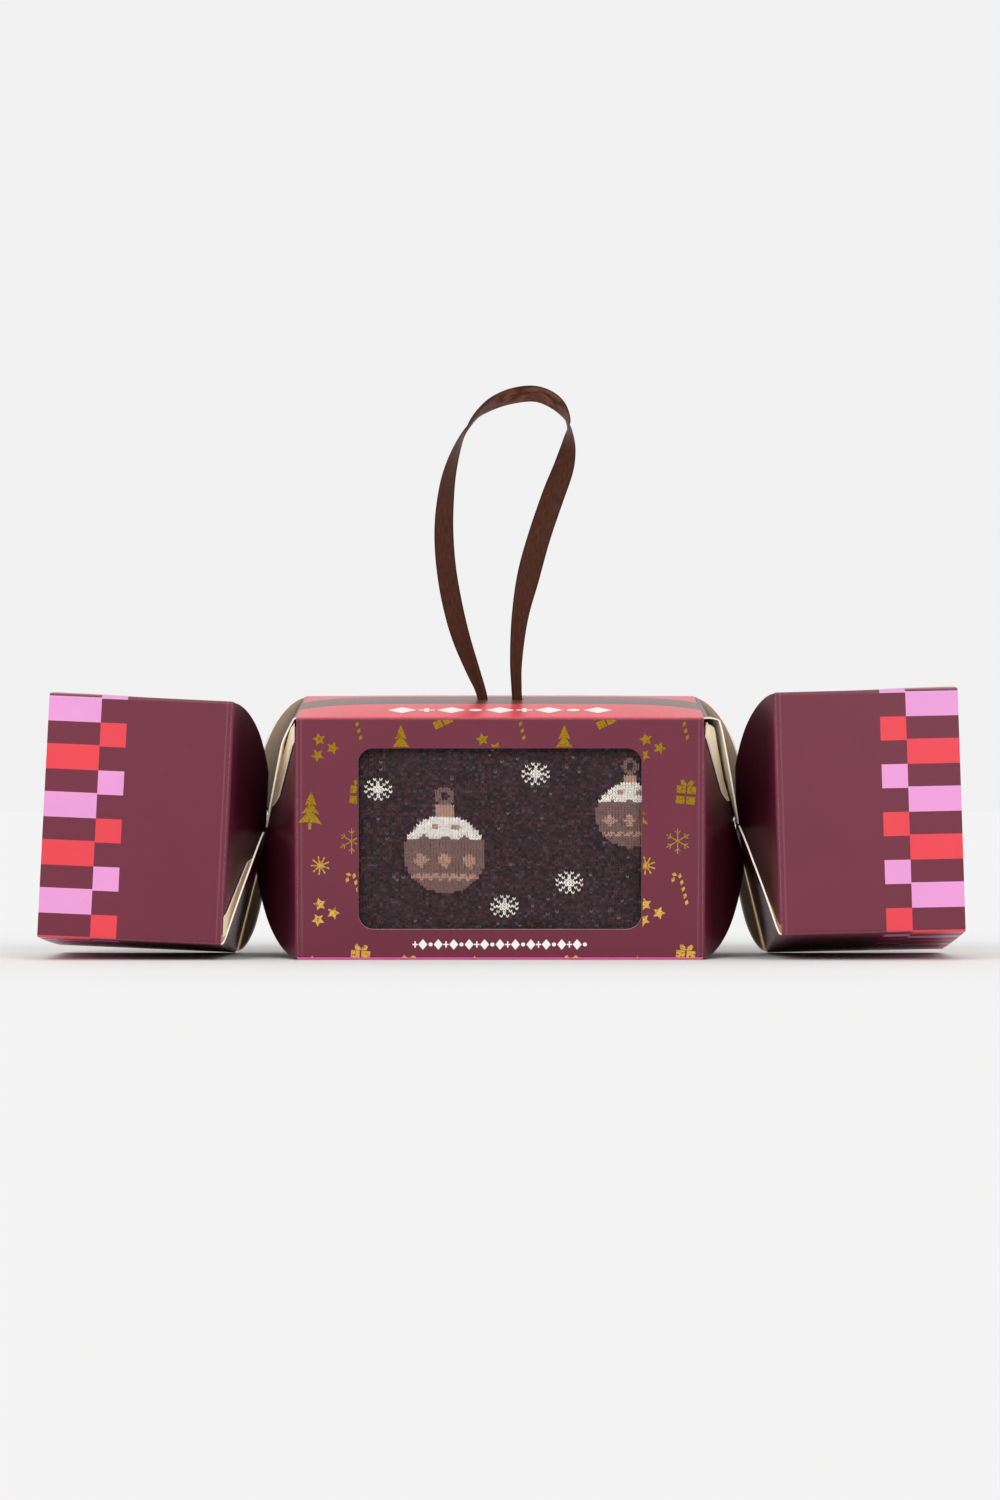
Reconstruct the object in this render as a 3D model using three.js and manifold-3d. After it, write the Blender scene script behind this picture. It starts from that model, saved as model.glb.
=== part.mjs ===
// A cracker-shaped gift carton: a square tube of folding board, pinched and twisted at two necks
// into a body and two open caps. The body has a die-cut window, a folded pair of socks inside
// and a satin ribbon loop knotted under its top panel.
// Millimetres. +X runs along the cracker, the window faces -Y, +Z is up, the floor is z = 0.
import * as THREE from 'three';
import { mergeVertices } from 'three/addons/utils/BufferGeometryUtils.js';
import Module from 'manifold-3d';

const wasm = await Module();
wasm.setup();

// Folding board and tube
const boardThickness = 0.5;
const tubeWidth = 75;
const foldGap = 0.3; // clearance left along every crease and between stacked layers
const bodyLength = 125;
const capLength = 56.4;
const leftNeckGap = 21.6; // from the body's end crease to the cap's end crease
const rightNeckGap = 23.1; // this neck was pressed together a little less

// How each section of the tube stands: roll about the long axis, nod of the outer end
const bodyRollDegrees = 6.5;
const leftCapRollDegrees = -3.75;
const leftCapNodDegrees = 2.5;
const rightCapRollDegrees = -6.1;
const rightCapNodDegrees = -1.2;

// Neck flaps
const flapDepth = 42.5; // how deep the rounded flap would be if the waist didn't cut it off
const flapInset = 0.5; // a flap is this much narrower than its panel at each end
const waistClearance = 0.2; // how far every flap stops short of the middle of the neck

// Window and ribbon holes
const windowWidth = 87;
const windowHeight = 56;
const windowRadius = 4.6;
const ribbonHoleSpacing = 11;
const ribbonHoleRadius = 2.2;

// Glue flaps
const glueFlapWidth = 12;
const glueFlapTaper = 4;

// Socks, each folded into three layers
const sockEndGap = 3.5; // room left at each end of the body
const sockPackLength = bodyLength - 2 * sockEndGap;
const sockLayer = 9.6;
const sockLayerGap = 1;
const sockLayers = 3;
const sockFrontGap = 2; // the knit stands this far behind the window
const sockSideGap = 1;
const sockCuffDrop = 9; // the open end stops lower, which leaves room for the knot

// Ribbon
const ribbonThickness = 0.8;
const gatheredThickness = 1.8; // where the ribbon is bunched in its hole
const ribbonSteps = 76;
const knotRadius = 2.3;

const halfWidth = tubeWidth / 2;
const cutMargin = 5; // how far a cutting tool runs past the board

const printedBoard = new THREE.MeshStandardMaterial({ color: 0x733243, roughness: 0.5, metalness: 0 });
const knit = new THREE.MeshStandardMaterial({ color: 0x35262c, roughness: 0.95, metalness: 0 });
const satin = new THREE.MeshStandardMaterial({ color: 0x4a2a22, roughness: 0.35, metalness: 0 });

function named(name, geometry, material) {
  const mesh = new THREE.Mesh(geometry, material);
  mesh.name = name;
  return mesh;
}

// Booleans on closed meshes
function toSolid(geometry) {
  const bare = geometry.clone();
  bare.deleteAttribute('normal');
  bare.deleteAttribute('uv');
  const merged = mergeVertices(bare);
  const vertProperties = new Float32Array(merged.attributes.position.array);
  const triVerts = new Uint32Array(merged.index.array);
  return new wasm.Manifold(new wasm.Mesh({ numProp: 3, vertProperties, triVerts }));
}

function toGeometry(solid) {
  const mesh = solid.getMesh();
  const geometry = new THREE.BufferGeometry();
  geometry.setAttribute('position', new THREE.BufferAttribute(mesh.vertProperties, 3));
  geometry.setIndex(new THREE.BufferAttribute(mesh.triVerts, 1));
  geometry.computeVertexNormals();
  return geometry;
}

function cut(geometry, tools) {
  let solid = toSolid(geometry);
  for (const tool of tools) {
    solid = solid.subtract(toSolid(tool));
  }
  return toGeometry(solid);
}

// The height at which a turned box stands on its lowest corner
function standingHeight(rotation, length) {
  const m = new THREE.Matrix4().makeRotationFromEuler(rotation).elements;
  return Math.abs(m[2]) * length / 2 + (Math.abs(m[6]) + Math.abs(m[10])) * halfWidth;
}

function tilt(roll, nod) {
  return new THREE.Euler(THREE.MathUtils.degToRad(roll), THREE.MathUtils.degToRad(nod), 0, 'YXZ');
}

// A side of the tube is drawn as its top side and turned about the long axis to its place
const sides = ['top', 'front', 'bottom', 'back'];

function sideGroup(index) {
  const group = new THREE.Group();
  group.rotation.x = index * Math.PI / 2;
  return group;
}

// A panel: a strip of board with mitred creases along both edges, lying at z = halfWidth
function panelGeometry(length) {
  const crease = foldGap / Math.SQRT2;
  const outer = halfWidth - crease;
  const inner = halfWidth - boardThickness - crease;
  const section = new THREE.Shape([
    new THREE.Vector2(-outer, halfWidth),
    new THREE.Vector2(-inner, halfWidth - boardThickness),
    new THREE.Vector2(inner, halfWidth - boardThickness),
    new THREE.Vector2(outer, halfWidth),
  ]);
  const geometry = new THREE.ExtrudeGeometry(section, { depth: length, bevelEnabled: false });
  const alongX = new THREE.Matrix4().makeBasis(
    new THREE.Vector3(0, 1, 0),
    new THREE.Vector3(0, 0, 1),
    new THREE.Vector3(1, 0, 0),
  );
  return geometry.applyMatrix4(alongX).translate(-length / 2, 0, 0);
}

function throughTool(shape) {
  const depth = boardThickness + 2 * cutMargin;
  const tool = new THREE.ExtrudeGeometry(shape, { depth, bevelEnabled: false, curveSegments: 10 });
  return tool.translate(0, 0, halfWidth - boardThickness - cutMargin);
}

function windowTool() {
  const x = windowWidth / 2;
  const y = windowHeight / 2;
  const r = windowRadius;
  const shape = new THREE.Shape();
  shape.moveTo(-x + r, -y);
  shape.lineTo(x - r, -y);
  shape.absarc(x - r, -y + r, r, -Math.PI / 2, 0, false);
  shape.absarc(x - r, y - r, r, 0, Math.PI / 2, false);
  shape.absarc(-x + r, y - r, r, Math.PI / 2, Math.PI, false);
  shape.absarc(-x + r, -y + r, r, Math.PI, Math.PI * 1.5, false);
  return throughTool(shape);
}

function ribbonHoleTool(x) {
  const shape = new THREE.Shape();
  shape.absarc(x, 0, ribbonHoleRadius, 0, Math.PI * 2, false);
  return throughTool(shape);
}

// The glue flap lies inside the back panel and hangs from the bottom panel's edge
function glueFlapGeometry(length) {
  const hinge = halfWidth - boardThickness - 2 * foldGap;
  const free = hinge - glueFlapWidth;
  const half = length / 2 - foldGap;
  const shape = new THREE.Shape([
    new THREE.Vector2(-half, hinge),
    new THREE.Vector2(-half + glueFlapTaper, free),
    new THREE.Vector2(half - glueFlapTaper, free),
    new THREE.Vector2(half, hinge),
  ]);
  const geometry = new THREE.ExtrudeGeometry(shape, { depth: boardThickness, bevelEnabled: false });
  return geometry.translate(0, 0, halfWidth - 2 * boardThickness - foldGap);
}

// A neck flap folds in from a panel's end crease towards the middle of the neck. Its free edge
// is a quarter of an ellipse on the fin side, which passes over the next flap. The other side
// stops along the diagonal where the flap before it passes over this one.
const hingeOut = foldGap + boardThickness;
const halfRoot = halfWidth - flapInset;

function flapLean(neckGap) {
  return Math.atan2(neckGap / 2 - hingeOut, halfWidth);
}

function flapReach(lean, clearance) {
  return halfWidth / Math.cos(lean) - clearance / Math.sin(lean);
}

function neckFlap(length, end, fin, lean, clearance) {
  const reach = flapReach(lean, clearance);
  const overlap = (boardThickness + foldGap) / Math.sin(lean);
  const diagonalAt = (depth) => halfWidth - depth * Math.cos(lean) - overlap;
  const drawn = -fin * end;
  const rootAngle = drawn > 0 ? Math.PI : 0;
  const waistAngle = Math.abs(rootAngle - Math.asin(reach / flapDepth));
  const shape = new THREE.Shape();
  shape.moveTo(-drawn * halfRoot, 0);
  shape.lineTo(drawn * diagonalAt(0), 0);
  shape.lineTo(drawn * diagonalAt(reach), reach);
  shape.absellipse(0, 0, halfRoot, flapDepth, waistAngle, rootAngle, drawn < 0);
  const geometry = new THREE.ExtrudeGeometry(shape, {
    depth: boardThickness,
    bevelEnabled: false,
    curveSegments: 22,
  });
  const across = new THREE.Vector3(0, end, 0);
  const down = new THREE.Vector3(end * Math.sin(lean), 0, -Math.cos(lean));
  const inward = new THREE.Vector3().crossVectors(across, down);
  geometry.applyMatrix4(new THREE.Matrix4().makeBasis(across, down, inward));
  return geometry.translate(end * (length / 2 + hingeOut), 0, halfWidth);
}

// The nod tips the waist, so the upright flaps, front and back, stop a little sooner
function waistTip(lean, nod) {
  const halfWaist = halfRoot * Math.sqrt(1 - (flapReach(lean, waistClearance) / flapDepth) ** 2);
  return halfWaist * Math.sin(THREE.MathUtils.degToRad(Math.abs(nod)));
}

function addFlaps(section, names, length, end, fin, neckGap, nod) {
  const lean = flapLean(neckGap);
  sides.forEach((side, index) => {
    const group = sideGroup(index);
    const upright = side === 'front' || side === 'back';
    const clearance = waistClearance + (upright ? waistTip(lean, nod) : 0);
    const geometry = neckFlap(length, end, fin, lean, clearance);
    group.add(named(`${names}_${side}`, geometry, printedBoard));
    section.add(group);
  });
}

function addTube(section, names, length, cuts) {
  sides.forEach((side, index) => {
    const tools = cuts[side] ?? [];
    const plain = panelGeometry(length);
    const geometry = tools.length ? cut(plain, tools) : plain;
    const group = sideGroup(index);
    group.add(named(`${names}_${side}_panel`, geometry, printedBoard));
    section.add(group);
  });
  const backSide = sideGroup(sides.indexOf('back'));
  backSide.add(named(`${names}_glue_flap`, glueFlapGeometry(length), printedBoard));
  section.add(backSide);
}

// One sock folded in layers: a band that runs up and down between two round turns
function sockGeometry(facing) {
  const floor = -halfWidth + boardThickness + sockSideGap + sockLayer / 2;
  const ceiling = -floor;
  const pitch = sockLayer + sockLayerGap;
  const first = halfWidth - boardThickness - sockFrontGap - sockLayer / 2;
  const turn = pitch / 2;
  const line = [];
  const turnSteps = 8;
  for (let layer = 0; layer < sockLayers; layer += 1) {
    const y = first - layer * pitch;
    const up = layer % 2 === 0;
    const last = layer === sockLayers - 1;
    const from = layer === 0 ? floor : (up ? floor + turn : ceiling - turn);
    const far = up ? ceiling : floor;
    const to = last ? far - Math.sign(far) * sockCuffDrop : far - Math.sign(far) * turn;
    line.push(new THREE.Vector2(y, from));
    line.push(new THREE.Vector2(y, to));
    for (let step = 1; step < turnSteps && !last; step += 1) {
      const angle = Math.PI * step / turnSteps;
      const rise = Math.sign(far) * turn * Math.sin(angle);
      line.push(new THREE.Vector2(y - turn + turn * Math.cos(angle), to + rise));
    }
  }
  return bandGeometry(line, sockLayer, sockPackLength, facing);
}

// A band of even thickness along a line in the y, z plane, drawn out along X
function bandGeometry(line, thickness, length, facing) {
  const left = [];
  const right = [];
  line.forEach((point, index) => {
    const before = line[Math.max(index - 1, 0)];
    const after = line[Math.min(index + 1, line.length - 1)];
    const way = after.clone().sub(before).normalize();
    const side = new THREE.Vector2(-way.y, way.x).multiplyScalar(thickness / 2);
    left.push(point.clone().add(side));
    right.unshift(point.clone().sub(side));
  });
  const outline = [...left, ...right].map((p) => new THREE.Vector2(p.x * facing, p.y));
  const shape = new THREE.Shape(outline);
  const geometry = new THREE.ExtrudeGeometry(shape, { depth: length, bevelEnabled: false });
  const alongX = new THREE.Matrix4().makeBasis(
    new THREE.Vector3(0, 1, 0),
    new THREE.Vector3(0, 0, 1),
    new THREE.Vector3(1, 0, 0),
  );
  return geometry.applyMatrix4(alongX).translate(-length / 2, 0, 0);
}

// The ribbon's route, from hole to hole: across and up from the middle of the top panel,
// the ribbon's width there, and how far its face is turned from edge-on towards the viewer
const ribbonRoute = [
  [-5.5, 2, 3.2, 60],
  [-6.4, 5.5, 3.6, 60],
  [-8.7, 11.6, 5, 60],
  [-12.3, 21.9, 6.6, 60],
  [-14.9, 32.1, 7.2, 60],
  [-16.8, 43, 7.2, 60],
  [-17.6, 54, 7.2, 58],
  [-17.2, 64, 7.2, 50],
  [-15.7, 74, 7.2, 36],
  [-12.6, 83.5, 7.2, 16],
  [-8.4, 90.6, 7.2, -6],
  [-3, 95.6, 7.2, -32],
  [4, 98.3, 7.2, -45],
  [11.5, 98.9, 7.2, -46],
  [17.6, 96, 7.2, -36],
  [21, 91, 7.2, -10],
  [21.7, 84.5, 7.2, 28],
  [20.2, 76, 7.2, 62],
  [16.6, 66, 7.2, 84],
  [12.2, 53, 7.2, 88],
  [8.8, 40.5, 7.2, 80],
  [6.3, 28, 5.6, 70],
  [5.2, 15, 4.2, 65],
  [5.3, 6, 3.4, 60],
  [5.5, 2, 3.2, 60],
];

// A flat strip of eight sides along a curve, with its width and turn read from the route
function ribbonGeometry(route, start, finish) {
  const places = [start, ...route.map(([x, z]) => new THREE.Vector3(x, 0, z)), finish];
  const widths = [route[0][2], ...route.map((row) => row[2]), route[0][2]];
  const turns = [route[0][3], ...route.map((row) => row[3]), route[route.length - 1][3]];
  const curve = new THREE.CatmullRomCurve3(places, false, 'centripetal');
  const wide = Math.max(...widths);
  const corners = 8;
  const positions = [];
  const triangles = [];
  for (let step = 0; step <= ribbonSteps; step += 1) {
    const along = step / ribbonSteps;
    const place = curve.getPoint(along);
    const tangent = curve.getTangent(along);
    const scaled = along * (places.length - 1);
    const row = Math.min(Math.floor(scaled), places.length - 2);
    const mix = scaled - row;
    const width = THREE.MathUtils.lerp(widths[row], widths[row + 1], mix);
    const angle = THREE.MathUtils.degToRad(THREE.MathUtils.lerp(turns[row], turns[row + 1], mix));
    const bunched = (wide - width) / (wide - widths[0]);
    const thickness = THREE.MathUtils.lerp(ribbonThickness, gatheredThickness, bunched);
    const away = new THREE.Vector3(0, 1, 0);
    const sideways = new THREE.Vector3().crossVectors(tangent, away).normalize();
    const flat = away.clone().multiplyScalar(Math.cos(angle)).addScaledVector(sideways, Math.sin(angle));
    const thin = new THREE.Vector3().crossVectors(tangent, flat).normalize();
    for (let corner = 0; corner < corners; corner += 1) {
      const round = (corner + 0.5) / corners * Math.PI * 2;
      const vertex = place.clone();
      vertex.addScaledVector(flat, Math.cos(round) * width / 2 / Math.cos(Math.PI / corners));
      vertex.addScaledVector(thin, Math.sin(round) * thickness / 2 / Math.cos(Math.PI / corners));
      positions.push(vertex.x, vertex.y, vertex.z);
    }
  }
  for (let step = 0; step < ribbonSteps; step += 1) {
    for (let corner = 0; corner < corners; corner += 1) {
      const a = step * corners + corner;
      const b = step * corners + (corner + 1) % corners;
      triangles.push(a, b, a + corners, b, b + corners, a + corners);
    }
  }
  const end = ribbonSteps * corners;
  for (let corner = 1; corner < corners - 1; corner += 1) {
    triangles.push(0, corner + 1, corner);
    triangles.push(end, end + corner, end + corner + 1);
  }
  const geometry = new THREE.BufferGeometry();
  geometry.setAttribute('position', new THREE.Float32BufferAttribute(positions, 3));
  geometry.setIndex(triangles);
  geometry.computeVertexNormals();
  return geometry;
}

// The body: four panels, eight flaps, the socks and the knot
const cracker = new THREE.Group();
const body = new THREE.Group();
body.rotation.copy(tilt(bodyRollDegrees, 0));
body.position.z = standingHeight(body.rotation, bodyLength);
addTube(body, 'body', bodyLength, {
  front: [windowTool()],
  top: [ribbonHoleTool(-ribbonHoleSpacing / 2), ribbonHoleTool(ribbonHoleSpacing / 2)],
});
addFlaps(body, 'left_neck_body_flap', bodyLength, -1, -1, leftNeckGap, 0);
addFlaps(body, 'right_neck_body_flap', bodyLength, 1, -1, rightNeckGap, 0);
body.add(named('front_sock', sockGeometry(-1), knit));
body.add(named('back_sock', sockGeometry(1), knit));

const knotTop = halfWidth - boardThickness - 2 * foldGap;
const knot = named('ribbon_knot', new THREE.CapsuleGeometry(knotRadius, ribbonHoleSpacing, 6, 14), satin);
knot.rotation.z = Math.PI / 2;
knot.position.z = knotTop - foldGap - knotRadius;
body.add(knot);
cracker.add(body);

// The caps: their flaps face the body, and their outer ends are open
function addCap(names, neck, end, neckGap, roll, nod) {
  const cap = new THREE.Group();
  cap.rotation.copy(tilt(roll, nod));
  const reachOut = bodyLength / 2 + neckGap + Math.cos(THREE.MathUtils.degToRad(nod)) * capLength / 2;
  cap.position.set(end * reachOut, 0, standingHeight(cap.rotation, capLength));
  addTube(cap, names, capLength, {});
  addFlaps(cap, `${neck}_cap_flap`, capLength, -end, 1, neckGap, nod);
  cracker.add(cap);
}
addCap('left_cap', 'left_neck', -1, leftNeckGap, leftCapRollDegrees, leftCapNodDegrees);
addCap('right_cap', 'right_neck', 1, rightNeckGap, rightCapRollDegrees, rightCapNodDegrees);

// The two sides reach out by different amounts, so the whole is centred between its ends
function reachPastBody(neckGap, nod) {
  const angle = THREE.MathUtils.degToRad(Math.abs(nod));
  return neckGap + Math.cos(angle) * capLength + Math.sin(angle) * halfWidth;
}
const leftReach = reachPastBody(leftNeckGap, leftCapNodDegrees);
const rightReach = reachPastBody(rightNeckGap, rightCapNodDegrees);
cracker.position.x = (leftReach - rightReach) / 2;

// The ribbon stands upright over the middle of the tilted top panel and ends at the knot
body.updateMatrix();
const panelMiddle = new THREE.Vector3(0, 0, halfWidth).applyMatrix4(body.matrix);
const ribbonEnd = (x) => {
  const inside = new THREE.Vector3(x, 0, knotTop).applyMatrix4(body.matrix);
  return inside.sub(panelMiddle);
};
const loop = named(
  'ribbon_loop',
  ribbonGeometry(ribbonRoute, ribbonEnd(-ribbonHoleSpacing / 2), ribbonEnd(ribbonHoleSpacing / 2)),
  satin,
);
loop.position.copy(panelMiddle);
cracker.add(loop);

export default cracker;
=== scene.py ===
# %% [markdown]
# # A cracker-shaped gift carton
# The real object is one sheet of printed folding board. It is glued into a long square tube and
# then pinched and turned at two necks, so that it looks like a party cracker. Behind a die-cut
# window lies a folded pair of knitted socks, and a satin ribbon loops out of the top.
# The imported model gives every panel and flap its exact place. This notebook dresses them.

import bpy
import numpy as np
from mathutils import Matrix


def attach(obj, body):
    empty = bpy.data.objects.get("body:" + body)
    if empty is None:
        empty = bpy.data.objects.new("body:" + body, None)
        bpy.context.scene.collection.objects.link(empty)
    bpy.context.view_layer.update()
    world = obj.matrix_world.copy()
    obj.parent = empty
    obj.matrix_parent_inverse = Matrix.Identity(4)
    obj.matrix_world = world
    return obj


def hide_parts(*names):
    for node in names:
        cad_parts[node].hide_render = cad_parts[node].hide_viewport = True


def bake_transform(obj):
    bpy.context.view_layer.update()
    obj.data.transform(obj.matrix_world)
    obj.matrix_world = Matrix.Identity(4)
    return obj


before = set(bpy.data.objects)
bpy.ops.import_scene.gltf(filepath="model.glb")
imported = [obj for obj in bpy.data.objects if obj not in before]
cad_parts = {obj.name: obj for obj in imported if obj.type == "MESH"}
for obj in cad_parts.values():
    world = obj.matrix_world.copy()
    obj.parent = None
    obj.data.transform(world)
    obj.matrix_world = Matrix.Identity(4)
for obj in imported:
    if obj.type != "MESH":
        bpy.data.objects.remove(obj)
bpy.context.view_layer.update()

# %% [markdown]
# ## The camera
# The photograph was taken with a long lens, level with the lower third of the carton and turned
# up by less than a degree. A long lens keeps the two caps square, which a wide one would not.

# %% Camera
MM = 0.001
LENS_PIXELS = 4433.0   # focal length, in pixels of the frame
FRAME_PIXELS = 1500.0  # height of the frame
SENSOR = 36.0          # in mm
EYE = (-1.4, 0.0475)   # distance in front of the carton and height above the floor, in metres
EYE_TILT = 90.72       # from straight down, in degrees
SHIFT_X = -0.345       # the carton's own middle, from the origin, in mm


def add_object(name, data):
    """Puts a mesh, a lamp or a camera into the scene."""
    thing = bpy.data.objects.new(name, data)
    bpy.context.scene.collection.objects.link(thing)
    return thing


camera_data = bpy.data.cameras.new("studio_camera")
camera_data.sensor_fit = "AUTO"
camera_data.sensor_width = SENSOR
camera_data.lens = SENSOR * LENS_PIXELS / FRAME_PIXELS
camera_data.clip_start, camera_data.clip_end = 0.05, 50.0
camera = add_object("studio_camera", camera_data)
camera.location = (SHIFT_X * MM, *EYE)
camera.rotation_euler = (np.radians(EYE_TILT), 0.0, 0.0)
bpy.context.scene.camera = camera
print("lens in mm:", round(camera_data.lens, 1))

# %% [markdown]
# ## Where each length of the tube lies
# The body is rolled a few degrees towards the viewer and rests on its lower front edge. The caps
# are rolled the other way and nod up a little at their open ends, because a twisted neck never
# springs back quite straight. Each side of a tube is worked out lying flat on top, with x along
# the tube, y across and z outwards, and is then turned about the long axis to its place.

# %% Sections of the tube
HALF = 37.5            # half the width of the square tube
WIDE = 2 * HALF
BODY = 125.0           # length of the body
CAP = 56.4             # length of a cap
NECKS = {"left": 21.6, "right": 23.1}  # from the body's end crease to the cap's
BOARD = 0.5            # thickness of the board
FOLD = 0.9             # outer radius of a crease
SIDES = ("top", "front", "bottom", "back")


def turning(roll, nod):
    """Rotation matrix of a roll about X followed by a nod about Y: R = Ry(nod) Rx(roll)."""
    r, n = np.radians([roll, nod])
    about_x = np.array([[1, 0, 0], [0, np.cos(r), -np.sin(r)], [0, np.sin(r), np.cos(r)]])
    about_y = np.array([[np.cos(n), 0, np.sin(n)], [0, 1, 0], [-np.sin(n), 0, np.cos(n)]])
    return about_y @ about_x


def lying(length, roll, nod, end, neck=0.0):
    """A section's length, rotation and centre. It stands on its lowest corner, so its centre is
    at |r31| length / 2 + (|r32| + |r33|) half the width above the floor."""
    matrix = turning(roll, nod)
    height = abs(matrix[2, 0]) * length / 2 + (abs(matrix[2, 1]) + abs(matrix[2, 2])) * HALF
    reach = 0.0 if end == 0 else BODY / 2 + neck + np.cos(np.radians(nod)) * length / 2
    centre = np.array([SHIFT_X + end * reach, 0.0, height])
    return {"length": length, "matrix": matrix, "centre": centre, "end": end}


SECTIONS = {
    "body": lying(BODY, 6.5, 0.0, 0),
    "left_cap": lying(CAP, -3.75, 2.5, -1, NECKS["left"]),
    "right_cap": lying(CAP, -6.1, -1.2, 1, NECKS["right"]),
}


def to_world(section, side, points):
    """Turns a side drawn on top by 0, 90, 180 or 270 degrees about X, then places the section."""
    angle = SIDES.index(side) * np.pi / 2
    x, y, z = np.moveaxis(np.asarray(points, float), -1, 0)
    turned = np.stack([x, y * np.cos(angle) - z * np.sin(angle),
                       y * np.sin(angle) + z * np.cos(angle)], axis=-1)
    place = SECTIONS[section]
    return (turned @ place["matrix"].T + place["centre"]) * MM


# %% [markdown]
# ## Sheets with a real thickness
# Folding board has three looks: ink outside, cream pulp inside and an almost white cut edge. So
# each sheet is a grid of points for its outer face, a second grid half a millimetre further in,
# and narrow strips that close the rim. A face carries the number of its look.

# %% Sheet builder
INK, CREAM, CUT = 0, 1, 2


def add_mesh(name, points, faces, looks=None, materials=(), smooth=40.0):
    """Puts arrays of points and faces into a new mesh object. Edges sharper than the smooth
    angle stay crisp, and without such an angle all the faces stay flat."""
    mesh = bpy.data.meshes.new(name)
    faces = faces if isinstance(faces, list) else faces.tolist()
    mesh.from_pydata(np.asarray(points).reshape(-1, 3).tolist(), [], faces)
    for material in materials:
        mesh.materials.append(material)
    if looks is not None:
        mesh.polygons.foreach_set("material_index", np.asarray(looks, np.int32))
    if smooth is not None:
        mesh.polygons.foreach_set("use_smooth", np.ones(len(mesh.polygons), bool))
        mesh.set_sharp_from_angle(angle=np.radians(smooth))
    mesh.update()
    return add_object(name, mesh)


def add_vectors(thing, name, *parts):
    """Stores one vector for each point, from parts that share a shape after broadcasting."""
    values = np.stack(np.broadcast_arrays(*parts), axis=-1)
    layer = thing.data.attributes.new(name, "FLOAT_VECTOR", "POINT")
    layer.data.foreach_set("vector", np.asarray(values, np.float32).ravel())


def dress(thing, body, node=None):
    """Lets a piece ride on its body and hides the plain solid below it."""
    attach(thing, body)
    if node:
        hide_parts(node)
    return thing


def unit(vectors):
    """Vectors of length one in the same directions."""
    return vectors / np.linalg.norm(vectors, axis=-1, keepdims=True)


def grid_faces(rows, columns, wrap=False, start=0):
    """Quads between neighbours of a grid, turning from the row direction to the column one."""
    i, j = np.meshgrid(np.arange(rows - 1), np.arange(columns if wrap else columns - 1),
                       indexing="ij")
    k = (j + 1) % columns
    quads = np.stack([i * columns + j, (i + 1) * columns + j, (i + 1) * columns + k,
                      i * columns + k], axis=-1)
    return quads.reshape(-1, 4) + start


def rim_faces(line, inner_start):
    """A strip from a line of outer points to the inner points below them."""
    a, b = line[:-1], line[1:]
    return np.stack([a, b, b + inner_start, a + inner_start], axis=-1)


def add_sheet(name, outer, inner, notes, rims, materials, wrap=False):
    """A solid sheet from two grids (rows, columns, 3). notes are its u, v and distance to the
    nearest fold; rims are the looks of the first and last row and the first and last column."""
    rows, columns = outer.shape[:2]
    count = rows * columns
    number = np.arange(count).reshape(rows, columns)
    if wrap:
        number = np.concatenate([number, number[:, :1]], axis=1)
    front = grid_faces(rows, columns, wrap)
    back = grid_faces(rows, columns, wrap, count)[:, ::-1]
    strips = [rim_faces(number[0], count), rim_faces(number[-1][::-1], count)]
    if not wrap:
        strips += [rim_faces(number[:, 0][::-1], count), rim_faces(number[:, -1], count)]
    looks = np.concatenate([np.full(len(front), INK), np.full(len(back), CREAM)]
                           + [np.full(len(s), look) for s, look in zip(strips, rims)])
    thing = add_mesh(name, np.stack([outer, inner]), np.concatenate([front, back, *strips]), looks,
                     materials)
    add_vectors(thing, "ink", *(np.stack([note] * 2) for note in np.broadcast_arrays(*notes)))
    return thing


print("looks of a sheet: ink", INK, "cream", CREAM, "cut edge", CUT)

# %% [markdown]
# ## Small tools for materials
# A material is a graph of nodes. These helpers add a node, set its values and join it in one
# line, so that each finish below reads like a recipe.

# %% Node helpers
def linear(red, green, blue):
    """An sRGB colour from 0 to 255 as linear light: ((c + 0.055) / 1.055) ** 2.4."""
    c = np.array([red, green, blue]) / 255.0
    return (*np.where(c <= 0.04045, c / 12.92, ((c + 0.055) / 1.055) ** 2.4).tolist(), 1.0)


def add_node(tree, kind, values=None, **settings):
    """Adds a node, sets its properties, and sets or joins its inputs."""
    node = tree.nodes.new(kind)
    for key, value in settings.items():
        setattr(node, key, value)
    for key, value in (values or {}).items():
        if isinstance(value, bpy.types.NodeSocket):
            tree.links.new(value, node.inputs[key])
        else:
            node.inputs[key].default_value = value
    return node


def add_math(tree, operation, *values):
    """One Math node; returns its output."""
    return add_node(tree, "ShaderNodeMath", dict(enumerate(values)), operation=operation).outputs[0]


def add_mix(tree, share, first, second, blend="MIX"):
    """A colour mix; returns its output."""
    return add_node(tree, "ShaderNodeMix", {0: share, 6: first, 7: second}, data_type="RGBA",
                    blend_type=blend).outputs[2]


def add_ramp(tree, value, start, stop, low=0.0, high=1.0):
    """A smooth step from low at start to high at stop."""
    names = {"Value": value, "From Min": start, "From Max": stop, "To Min": low, "To Max": high}
    return add_node(tree, "ShaderNodeMapRange", names, interpolation_type="SMOOTHSTEP").outputs[0]


def object_place(tree):
    """The place on the piece, in metres."""
    return add_node(tree, "ShaderNodeTexCoord").outputs["Object"]


def stored(tree, name, output="Vector"):
    """A vector that is stored for each point of the piece."""
    note = add_node(tree, "ShaderNodeAttribute", attribute_name=name, attribute_type="GEOMETRY")
    return note.outputs[output]


def split_vector(tree, vector):
    """The three parts of a vector."""
    return add_node(tree, "ShaderNodeSeparateXYZ", {0: vector}).outputs


def add_vector_math(tree, operation, vector, values):
    """One Vector Math node; returns its output."""
    return add_node(tree, "ShaderNodeVectorMath", {0: vector, 1: values},
                    operation=operation).outputs[0]


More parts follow.
